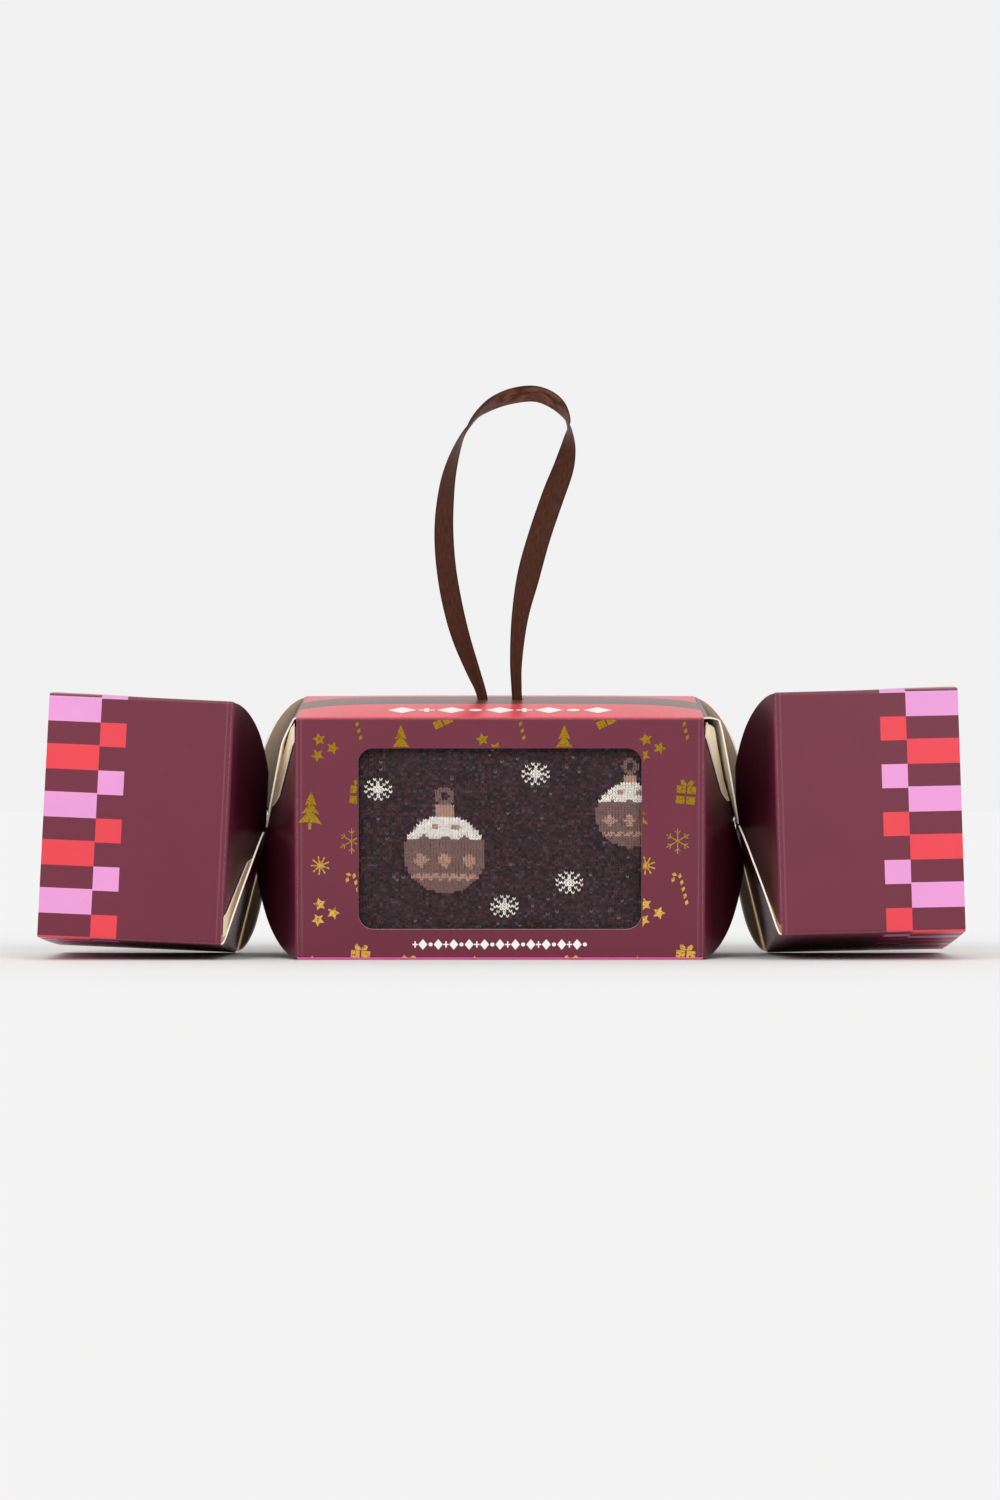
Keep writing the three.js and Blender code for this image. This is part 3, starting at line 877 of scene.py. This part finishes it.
MOTIFS = [(star_cluster, -54.2, 28.3, 0), (tree_figure, -30.4, 29.2, 0),
          (gift_figure, -18.3, 37.7, 25), (tree_figure, -58.2, 8.8, -3),
          (gift_figure, -43.1, 13.8, -5), (gift_figure, -28.1, 10.4, 0),
          (snowflake_figure, -45.6, -0.6, 0), (burst_figure, -55.3, -8.2, 0),
          (cane_figure, -45.0, -15.6, 14)]
FIGURES = [(draw, x + REPEAT[0] * column, y - REPEAT[1] * row, degrees)
           for draw, x, y, degrees in MOTIFS for column in range(3) for row in range(-1, 2)
           if y - REPEAT[1] * row > -30 or abs(x + REPEAT[0] * column - BARE[0]) > BARE[1]]


def foil_shapes():
    """The polygons of all the figures, cut off near the panel's edges and round the window."""
    wx, wy = WINDOW[0] + CLEAR, WINDOW[1] + CLEAR
    ends, edges = BODY / 2 - TRIM, HALF - TRIM
    panel = ((0, ends, -1), (0, -ends, 1), (1, edges, -1), (1, -edges, 1))
    level = ((1, wy, -1), (1, -wy, 1))
    around = ([(1, wy, 1)], [(1, -wy, -1)], [*level, (0, wx, 1)], [*level, (0, -wx, -1)])
    shapes = [clipped(turned(shape, degrees) + [x, y], *panel, *cuts)
              for draw, x, y, degrees in FIGURES for shape in draw() for cuts in around]
    return [shape for shape in shapes if len(shape) > 2]


gold_foil, tree, shader = new_material("gold_foil", Metallic=1.0, IOR=1.45)
place = object_place(tree)
crinkle = add_noise(tree, place, 1500.0, 3.0)
# Painted reflection: the gold is paler low on the panel, towards the floor, and darker higher up.
gold_with_painted_reflection = add_mix(tree, add_ramp(tree, split_vector(tree, place)[2], 0.050, 0.014),
               linear(172, 134, 36), linear(248, 198, 100))
gold_with_painted_reflection = add_mix(tree, add_ramp(tree, crinkle, 0.5, 0.64, 0.0, 0.75), gold_with_painted_reflection, linear(120, 88, 18))
tree.links.new(gold_with_painted_reflection, shader.inputs["Base Color"])
tree.links.new(add_ramp(tree, crinkle, 0.3, 0.7, 0.22, 0.42), shader.inputs["Roughness"])
add_bump(tree, shader, crinkle, 0.7, 0.0003)

foil = add_film("gold_foil_figures", foil_shapes(), "front", gold_foil)
print("foil figures:", len(FIGURES), "in", len(foil.data.polygons), "polygons")

# %% [markdown]
# ## White ornament bands
# The red bands of the top and the foot of the front carry a plain border in thick white ink, as
# on much seasonal packing: diamonds, dots and small crosses in a row. Screen ink stands a little
# proud, so it is again real geometry.

# %% White border figures
BORDERS = (("top_front", "top", -25.5, 34.0, 10.5), ("top_back", "top", 25.5, 34.0, 10.5),
           ("front_foot", "front", -32.7, 27.4, 3.3))


def border_shapes(middle_y, half_length, height):
    """Diamonds at even steps, with a dot or a cross between each two."""
    step = height * 0.72
    count = int(half_length / step)
    dot = star(height * 0.2, 6, 0.92)
    diamond = height * np.array([[0.42, 0], [0, 0.5], [-0.42, 0], [0, -0.5]])
    strokes = np.array([[[-0.24, 0], [0.24, 0]], [[0, 0.07], [0, 0.3]], [[0, -0.3], [0, -0.07]]])
    cross = [bar(*stroke, height * 0.13) for stroke in height * strokes]
    figures = {0: [diamond], 1: cross, 2: [diamond], 3: [dot]}
    return [shape + [k * step, middle_y] for k in range(-count, count + 1)
            for shape in figures[k % 4]]


white_ink = paper_finish("white_ink", (246, 240, 236), 0.05, 0.12, 0.3, Roughness=0.55, IOR=1.45)
borders = [add_film(f"white_border_{name}", border_shapes(*numbers), side, white_ink)
           for name, side, *numbers in BORDERS]
print("white borders:", [b.name for b in borders])

# %% [markdown]
# ## The folded socks
# Each sock is folded to and fro into three soft layers. The shape is a line that runs up and
# down between two round turns, and a thickness on both sides of it that closes to nothing at
# the two ends of the pack.

# %% Sock bodies
LAYER = 9.6            # thickness of a folded layer
LAYER_GAP = 1.0
SOCK_HALF = 59.0       # half the length of the pack
SEAT = 1.0             # the pack's height above the bottom panel
SETBACK = 2.0          # and its distance behind the front panel
STITCH_WIDE, STITCH_TALL = 0.95, 0.76


def folded_line():
    """Centre points and offsets of the rim of a band folded in three, in the y, z plane."""
    floor = -HALF + BOARD + SEAT + LAYER / 2
    pitch = LAYER + LAYER_GAP
    first = HALF - BOARD - SETBACK - LAYER / 2
    turn = pitch / 2
    angle = np.linspace(0, np.pi, 17)
    top = np.stack([first - turn + turn * np.cos(angle), -floor - turn + turn * np.sin(angle)], -1)
    low = np.stack([first - pitch - turn + turn * np.cos(angle),
                    floor + turn - turn * np.sin(angle)], -1)
    rise = np.linspace(0, 1, 16)[:, None]
    start, last = np.array([first, floor]), np.array([first - 2 * pitch, -floor - 9.0])
    line = np.concatenate([start + (top[0] - start) * rise, top[1:], top[-1]
                           + (low[0] - top[-1]) * rise[1:], low[1:],
                           low[-1] + (last - low[-1]) * rise[1:]])
    way = unit(np.gradient(line, axis=0))
    side = np.stack([-way[:, 1], way[:, 0]], axis=-1)
    cap = np.linspace(0, np.pi, 9)[1:-1, None]
    far = side[-1] * np.cos(cap) + way[-1] * np.sin(cap)
    near = -side[0] * np.cos(cap) - way[0] * np.sin(cap)
    centre = np.concatenate([line, np.repeat(line[-1:], len(cap), 0), line[::-1],
                             np.repeat(line[:1], len(cap), 0)])
    return centre, np.concatenate([side, far, -side[::-1], near])


def add_sock(name, node, facing):
    """Points are C(q) + k(x) T N(q), with k = sqrt(1 - |x / 59|^7), so both ends close softly."""
    centre, offset = folded_line()
    x = SOCK_HALF * np.sin(np.linspace(-np.pi / 2, np.pi / 2, 49))[:, None]
    k = np.sqrt(np.clip(1 - np.abs(x / SOCK_HALF) ** 7, 0, 1))
    ripple = np.minimum(1 - 0.03 * np.cos(x * 0.21 + centre[:, 1] * 0.09), 1.0)
    y, z = np.moveaxis(centre + ((LAYER / 2 - 0.05) * k * ripple)[..., None] * offset, -1, 0)
    points = np.stack(np.broadcast_arrays(x, y * facing, z), -1)
    faces = grid_faces(*points.shape[:2], wrap=True)
    thing = add_mesh(name, to_world("body", "top", points),
                     faces if facing > 0 else faces[:, ::-1], materials=(knit_plain,), smooth=180)
    run = np.cumsum(np.linalg.norm(np.diff(centre, axis=0, prepend=centre[-1:]), axis=1))
    add_vectors(thing, "wale", x, run, 0.0 * x)
    dress(thing, "body", node)
    return thing


knit_plain, tree, shader = new_material("knit_plain", Roughness=0.9, IOR=1.4)
cloth = stored(tree, "wale")
across_it, along_it, _ = split_vector(tree, cloth)
wale = add_math(tree, "FRACT", add_math(tree, "DIVIDE", across_it, STITCH_WIDE))
lean_in = add_math(tree, "ABSOLUTE", add_math(tree, "SUBTRACT", wale, 0.5))
course = add_math(tree, "DIVIDE", along_it, STITCH_TALL)
loop_phase = add_math(tree, "FRACT", add_math(tree, "ADD", course, lean_in))
loop_height = add_math(tree, "SINE", add_math(tree, "MULTIPLY", loop_phase, np.pi))
speck = add_node(tree, "ShaderNodeTexWhiteNoise",
                 {"Vector": add_vector_math(tree, "SNAP", cloth, (0.8, 0.8, 0.8))},
                 noise_dimensions="3D").outputs["Value"]
yarn = add_mix(tree, add_ramp(tree, speck, 0.2, 0.9), linear(40, 28, 34), linear(78, 56, 64))
# Painted shade: the gaps between the loops turn almost black.
yarn = add_mix(tree, add_ramp(tree, loop_height, 0.55, 0.0), yarn, linear(16, 11, 14))
tree.links.new(yarn, shader.inputs["Base Color"])
add_bump(tree, shader, loop_height, 0.8, 0.0004)

socks = [add_sock("front_sock_folded", "front_sock", -1),
         add_sock("back_sock_folded", "back_sock", 1)]
print("sock faces:", [len(sock.data.polygons) for sock in socks])

# %% [markdown]
# ## Knitted stitches in the window
# What shows in the window is looked at closely, so there each stitch is built: two slanting
# loops of yarn that meet in a V. One small loop is worked out once and copied to every place by
# adding two arrays. The colour of a stitch comes from a picture drawn with formulas on the
# stitch grid: baubles with a scalloped white top, tan bands and snow crystals.

# %% Stitch pattern
GROUND, TAUPE, TAN, WHITE = 0, 1, 2, 3
YARNS = ((62, 42, 48), (132, 102, 96), (192, 152, 134), (242, 236, 228))
MARL = ((42, 26, 32), (66, 43, 49), (84, 52, 58), (80, 72, 84), (56, 36, 43), (112, 100, 106))
MARL_SHARES = (0.27, 0.28, 0.13, 0.04, 0.27, 0.01)   # how often each marl colour comes
BAUBLES = ((-17.0, -5.0, 12.6), (40.0, 7.0, 10.5))   # middle and radius, in mm
CRYSTALS = ((60, 66), (71, 22), (9, 60), (50, 12))   # middle, in stitches


def bauble(x, z, cx, cz, r):
    """A round bauble: white scalloped top, tan studs, taupe body with a band of diamonds."""
    dx, dz = x - cx, z - cz
    inside = dx ** 2 + (dz * 1.04) ** 2 < r ** 2
    pattern = np.zeros(x.shape, int)
    pattern[inside] = TAUPE
    scallop = 0.30 * r + 0.13 * r * np.abs(np.sin(dx * np.pi / (0.5 * r)))
    pattern[inside & (dz > r * 0.62 - scallop + 0.16 * r)] = WHITE
    studs = (np.abs(np.mod(dx, 0.5 * r) - 0.25 * r) < 0.09 * r) & (np.abs(dz - 0.66 * r) < 0.08 * r)
    pattern[inside & studs] = TAN
    diamond = np.abs(np.mod(dx + 0.3 * r, 0.6 * r) - 0.3 * r) * 1.1 + np.abs(dz + 0.16 * r)
    pattern[inside & (diamond < 0.21 * r)] = TAN
    pattern[inside & (np.abs(dz + 0.56 * r - 0.05 * r * np.cos(dx * 2.2)) < 0.055 * r)] = TAN
    pattern[(np.abs(dx) < 0.2 * r) & (dz > 0.93 * r) & (dz < 1.2 * r)] = TAN
    ring = np.hypot(dx, dz - 1.42 * r)
    pattern[(ring < 0.24 * r) & (ring > 0.11 * r)] = TAUPE
    return pattern


def crystal(i, j, ci, cj):
    """A snow crystal, 9 stitches across: a heart, four straight arms, four slanting ones and a
    pair of tips beside the end of each straight arm."""
    a, b = np.abs(i - ci), np.abs(j - cj)
    heart = np.maximum(a, b) <= 1
    arms = ((a == 0) & (b <= 3)) | ((b == 0) & (a <= 3))
    slanting = (a == b) & (a >= 2) & (a <= 3)
    tips = ((a == 1) & (b == 4)) | ((a == 4) & (b == 1))
    return np.where(heart | arms | slanting | tips, WHITE, GROUND)


def stitch_colors(i, j, x, z, rng):
    """Colours of all the stitches, with marled yarn in the ground."""
    pattern = np.zeros(x.shape, int)
    for drawing in ([bauble(x, z, *place) for place in BAUBLES]
                    + [crystal(i, j, *place) for place in CRYSTALS]):
        pattern = np.where(drawing > 0, drawing, pattern)
    plain = np.array([linear(*color)[:3] for color in YARNS])[pattern]
    marl = np.array([linear(*color)[:3] for color in MARL])
    marl = marl[rng.choice(len(MARL), x.shape, p=MARL_SHARES)]
    color = np.where((pattern == GROUND)[..., None], marl, plain)
    shade = rng.normal(1.0, 0.07, x.shape)
    return color * np.clip(shade, 0.75, 1.25)[..., None], pattern


print("stitch looks: ground", GROUND, "taupe", TAUPE, "tan", TAN, "white", WHITE)

# %% [markdown]
# ## Laying the stitches
# A machine knits row by row, so the stitches stand on a grid. The cloth is slack in its fold, so
# rows and columns drift in slow waves, and every loop of the yarn wanders by a few hundredths of
# a millimetre. The cloth swells a little in the middle of the window.

# %% Stitches
KNIT_DEPTH = 34.78     # from the tube's middle to the knit behind the window
SWELL = 0.225          # how far it swells in the middle of the window
rng = np.random.default_rng(11)
columns, rows = 98, 81
i, j = np.meshgrid(np.arange(columns), np.arange(rows), indexing="ij")
stitch_x = (i - (columns - 1) / 2) * STITCH_WIDE
stitch_z = (j - (rows - 1) / 2) * STITCH_TALL
colors, pattern = stitch_colors(i, j, stitch_x, stitch_z, rng)

t, s = np.meshgrid(np.array([0.0, 0.34, 0.67, 1.0]), np.array([-1.0, 0.0, 1.0]), indexing="ij")
bulge = np.array([0.35, 1.0, 1.0, 0.35])[:, None]
leg_x = -0.44 * STITCH_WIDE * (1 - t) - 0.07 * STITCH_WIDE + s * 0.215 * STITCH_WIDE * bulge
leg_z = STITCH_TALL * (0.62 - 1.2 * t) + s * 0.06 * STITCH_TALL
leg_out = 0.34 * bulge * (1 - 0.85 * s ** 2)
left_leg = np.stack([leg_x, leg_out, leg_z], -1)
right_leg = left_leg[:, ::-1] * np.array([-1.0, 1.0, 1.0])
legs = np.stack([left_leg, right_leg]).reshape(2, t.size, 3)

wander = rng.normal(0, 0.035, (columns, rows, 2, 1, 3))
drift_x = 0.12 * np.sin(stitch_z * 0.31 + stitch_x * 0.05)
drift_z = 0.16 * np.sin(stitch_x * 0.22)
centre = np.stack([stitch_x + drift_x, 0 * stitch_x, stitch_z + drift_z], -1)
x, out, z = np.moveaxis(centre[:, :, None, None] + legs + wander, -1, 0)
pillow = SWELL * (1 - (x / 60) ** 2) * (1 - (z / 40) ** 2)
surface = np.stack([x, -(KNIT_DEPTH + pillow + out), z], -1)
leg_starts = np.arange(2 * columns * rows) * t.size
faces = (grid_faces(*t.shape) + leg_starts[:, None, None]).reshape(-1, 4)
stitches = add_mesh("window_stitches", to_world("body", "top", surface), faces, smooth=180)
add_vectors(stitches, "yarn", *np.repeat(colors.reshape(-1, 3), 2 * t.size, axis=0).T)
print("stitches:", columns * rows, "in colours:", np.bincount(pattern.ravel()).tolist())

# %% [markdown]
# ## Yarn
# Cotton yarn scatters light softly. A little sheen lifts the fuzz at the edges of each loop.

# %% Material of the stitches
knit_yarn, tree, shader = new_material("knit_yarn", Roughness=0.92, IOR=1.4, Sheen_Weight=0.25,
                                       Sheen_Roughness=0.5)
twist = add_noise(tree, object_place(tree), 4200.0, 2.0)
fuzz = add_ramp(tree, twist, 0.3, 0.7, 0.72, 1.2)
tree.links.new(add_mix(tree, 1.0, stored(tree, "yarn", "Color"), fuzz, "MULTIPLY"),
               shader.inputs["Base Color"])
add_bump(tree, shader, twist, 0.6)
stitches.data.materials.append(knit_yarn)
dress(stitches, "body")
print("stitch piece:", len(stitches.data.polygons) * 2, "triangles")

# %% [markdown]
# ## The ribbon
# A satin ribbon 7 mm wide leaves one hole, turns over at the top and goes back into the other.
# It twists as it rises, so its width is seen now from the front and now from the side. The route
# is a list of points with a width and a turn, and a smooth curve runs through them.

# %% Ribbon
RIBBON_WIDE = 7.2
END_DEPTH = 0.6        # of the ribbon's ends, below the underside of the panel
ROUTE = np.array([     # x, height above the top panel, width and turn in degrees
    [-5.5, 2, 3.2, 60], [-6.4, 5.5, 3.6, 60], [-8.7, 11.6, 5, 60], [-12.3, 21.9, 6.6, 60],
    [-14.9, 32.1, 7.2, 60], [-16.8, 43, 7.2, 60], [-17.6, 54, 7.2, 58], [-17.2, 64, 7.2, 50],
    [-15.7, 74, 7.2, 36], [-12.6, 83.3, 7.2, 17], [-8.4, 90.2, 7.2, -4], [-3, 95.0, 7.2, -26],
    [4, 97.8, 7.2, -38], [11.5, 98.4, 7.2, -39], [17.6, 95.6, 7.2, -34], [21, 90.8, 7.2, -12],
    [21.7, 84.5, 7.2, 28], [20.2, 76, 7.2, 62], [16.6, 66, 7.2, 84], [12.2, 53, 7.2, 88],
    [8.8, 40.5, 7.2, 80], [6.3, 28, 5.6, 70], [5.2, 15, 4.2, 65], [5.3, 6, 3.4, 60],
    [5.5, 2, 3.2, 60]])


def smooth_path(knots, per_span):
    """A Catmull-Rom curve: each span blends its four nearest knots with cubic weights."""
    padded = np.concatenate([2 * knots[:1] - knots[1:2], knots, 2 * knots[-1:] - knots[-2:-1]])
    t = np.linspace(0, 1, per_span, endpoint=False)[:, None]
    a, b, c, d = (padded[k:len(padded) - 3 + k][:, None] for k in range(4))
    path = 0.5 * (2 * b + (c - a) * t + (2 * a - 5 * b + 4 * c - d) * t ** 2
                  + (3 * b - a - 3 * c + d) * t ** 3)
    return np.concatenate([path.reshape(-1, knots.shape[1]), knots[-1:]])


body = SECTIONS["body"]
panel_middle = body["matrix"] @ np.array([0, 0, HALF]) + body["centre"]
knot_top = HALF - BOARD - END_DEPTH
ends = np.array([[-HOLE_SPACING / 2, 0, knot_top], [HOLE_SPACING / 2, 0, knot_top]])
ends = ends @ body["matrix"].T + body["centre"] - panel_middle
path = smooth_path(np.concatenate([[[*ends[0], *ROUTE[0, 2:]]], np.insert(ROUTE, 1, 0.0, axis=1),
                                   [[*ends[1], *ROUTE[-1, 2:]]]]), 14)
line, width, degrees = path[:, :3], path[:, 3:4], path[:, 4:5]
way = unit(np.gradient(line, axis=0))
away = np.array([0.0, 1.0, 0.0])
flat_way = (away * np.cos(np.radians(degrees))
            + unit(np.cross(way, away)) * np.sin(np.radians(degrees)))
thin_way = unit(np.cross(way, flat_way))

bunched = np.clip((RIBBON_WIDE - width) / 4.0, 0, 1)
thickness = 0.34 + 1.2 * bunched
ring = np.linspace(0, 2 * np.pi, 29)[:-1]
flat_share, thin_share = (np.sign(c) * np.abs(c) ** 0.6 for c in (np.cos(ring), np.sin(ring)))
edge_on = np.exp(-(degrees / 14.0) ** 2)
cup = (0.22 + 0.75 * edge_on) * (1 - bunched) * (flat_share ** 2 - 0.4)
pleat = 0.35 * bunched * np.cos(3 * np.pi * flat_share)
rise = thin_share * thickness / 2 + cup + pleat
tube = (line[:, None] + flat_way[:, None] * (flat_share * width / 2)[..., None]
        + thin_way[:, None] * rise[..., None])
numbers = np.arange(len(line) * len(ring)).reshape(len(line), len(ring))
faces = grid_faces(*numbers.shape, wrap=True)[:, ::-1].tolist()
faces += [numbers[0].tolist(), numbers[-1, ::-1].tolist()]
ribbon = add_mesh("ribbon_loop_satin", (tube + panel_middle) * MM, faces, smooth=180)
run = np.concatenate([[0], np.cumsum(np.linalg.norm(np.diff(line, axis=0), axis=1))])
add_vectors(ribbon, "weave", run[:, None], flat_share * RIBBON_WIDE / 2, 0.0)
RIBBON_TOP = float(run[np.argmax(line[:, 2])])
print("ribbon length in mm:", round(float(run[-1]), 1))

# %% [markdown]
# ## Satin
# Satin is woven so that long threads lie along the ribbon and mirror the light. Fine lines along
# its length and a slightly thicker selvedge give that look. Where the ribbon turns over at the
# top, uneven, paler patches are painted into its colour as a highlight, where the threads face the
# light.

# %% Material of the ribbon
THREADS = 7.0          # dark and light lines for each mm of width
PICK = 0.42            # distance between the cross threads

satin, tree, shader = new_material("satin", Roughness=0.42, IOR=1.33, Specular_IOR_Level=0.22)
weave = stored(tree, "weave")
along_it, across_it, _ = split_vector(tree, weave)
threads = add_noise(tree, add_vector_math(tree, "MULTIPLY", weave, (0.35, THREADS, 1.0)), 1.0, 2.0)
streaks = add_noise(tree, add_vector_math(tree, "MULTIPLY", weave, (0.22, 0.5, 1.0)), 1.0, 2.0)
picks = add_math(tree, "SINE", add_math(tree, "MULTIPLY", along_it, 2 * np.pi / PICK))
selvedge = add_math(tree, "GREATER_THAN", add_math(tree, "ABSOLUTE", across_it), 3.15)
from_top = add_math(tree, "ABSOLUTE", add_math(tree, "SUBTRACT", along_it, RIBBON_TOP))
# Painted highlight: paler streaky patches near the top of the loop.
painted_highlight = add_math(tree, "MULTIPLY", add_ramp(tree, from_top, 26.0, 6.0),
                 add_ramp(tree, streaks, 0.36, 0.64, 0.1, 0.9))
brown = add_mix(tree, add_ramp(tree, threads, 0.35, 0.65), linear(53, 27, 17), linear(82, 45, 30))
brown = add_mix(tree, painted_highlight, brown, linear(124, 84, 68))
brown = add_mix(tree, add_math(tree, "MULTIPLY", selvedge, 0.5), brown, linear(34, 17, 12))
tree.links.new(brown, shader.inputs["Base Color"])
add_bump(tree, shader, add_math(tree, "MULTIPLY_ADD", picks, 0.12, threads), 0.35, 0.00012)
ribbon.data.materials.append(satin)
dress(ribbon, "body", "ribbon_loop")
print("satin lines:", THREADS, "per mm of width")

# %% [markdown]
# ## The knot
# Under the top panel the two ends are tied together. The knot is a bar with a spiral of folds:
# its radius swells and shrinks along a screw line.

# %% Knot
KNOT_HALF, KNOT_RADIUS = 7.6, 2.15
KNOT_DROP = 2.6        # from the ribbon's ends to the knot's middle

turns = np.linspace(0, 2 * np.pi, 33)[:-1]
q = np.linspace(-1, 1, 41)[:, None]
swelling = 1 - 0.1 * (1 + np.sin(3 * turns + 7 * q)) / 2
radius = KNOT_RADIUS * np.sqrt(np.clip(1 - np.abs(q) ** 5, 0, 1)) * swelling
points = np.stack(np.broadcast_arrays(KNOT_HALF * q, radius * np.cos(turns),
                                      knot_top - KNOT_DROP + radius * np.sin(turns)), -1)
knot = add_mesh("ribbon_knot_satin", to_world("body", "top", points),
                grid_faces(*radius.shape, wrap=True)[:, ::-1], materials=(satin,), smooth=180)
add_vectors(knot, "weave", KNOT_HALF * q, radius * 1.2, 0.0)
dress(knot, "body", "ribbon_knot")
print("knot length in mm:", round(float(np.ptp(points[..., 0])), 1))

# %% [markdown]
# ## Stage and light
# A pale floor runs to the horizon, where it meets a background of the same value, so no line
# shows. The light is soft: two wide suns stand left and right of the camera, and an even sky
# fills in. Straight behind the camera the studio is darker, so the necks stay deep in shade.

# %% Stage
FLOOR_VALUE = 0.885    # of the background, as linear light
SKY_VALUE = 0.7
FLOOR_REACH = 30       # in metres
SOFTNESS = 35          # angle of the suns' discs
TILT = 57              # of the suns, from straight above

floor_material, tree, shader = new_material("studio_floor", Roughness=1.0, Specular_IOR_Level=0.0)
shader.inputs["Base Color"].default_value = (0.915, 0.915, 0.92, 1.0)
corners = np.array([(-1, -1, 0), (1, -1, 0), (1, 1, 0), (-1, 1, 0)]) * FLOOR_REACH
add_mesh("studio_floor", corners, [(0, 1, 2, 3)], materials=(floor_material,),
                  smooth=None)


def add_background(tree, color, strength):
    """An even light; returns its output."""
    return add_node(tree, "ShaderNodeBackground", {"Color": (*color, 1.0),
                                                   "Strength": strength}).outputs[0]


def mix_lights(tree, share, first, second):
    """Blends two shaders; returns the output."""
    return add_node(tree, "ShaderNodeMixShader", {0: share, 1: first, 2: second}).outputs[0]


world_light = bpy.data.worlds.new("studio_sky")
bpy.context.scene.world = world_light
world_light.use_nodes = True
tree = world_light.node_tree
tree.nodes.clear()
rays = add_node(tree, "ShaderNodeLightPath").outputs
toward = split_vector(tree, add_node(tree, "ShaderNodeTexCoord").outputs["Generated"])
front_dark = add_ramp(tree, toward[1], -0.95, -0.55, 0.45, 1.0)
sky = add_background(tree, (1.0, 0.995, 0.985), add_math(tree, "MULTIPLY", front_dark, SKY_VALUE))
mirrored = add_background(tree, (1.0,) * 3, add_math(tree, "MULTIPLY", front_dark, FLOOR_VALUE))
backdrop = add_background(tree, (FLOOR_VALUE,) * 3, 1.0)
seen = add_math(tree, "MAXIMUM", rays["Is Camera Ray"], rays["Is Transmission Ray"])
light = mix_lights(tree, rays["Is Glossy Ray"], sky, mirrored)
add_node(tree, "ShaderNodeOutputWorld", {"Surface": mix_lights(tree, seen, light, backdrop)})

for name, strength, turn in (("key_sun", 1.0, -22), ("fill_sun", 0.85, 22)):
    sun = bpy.data.lights.new(name, "SUN")
    sun.energy, sun.angle = strength, np.radians(SOFTNESS)
    lamp = add_object(name, sun)
    lamp.rotation_euler = (np.radians(TILT), 0.0, np.radians(turn))
    print("lamp:", name, "with strength", strength)
bpy.context.scene.view_settings.view_transform = "Standard"
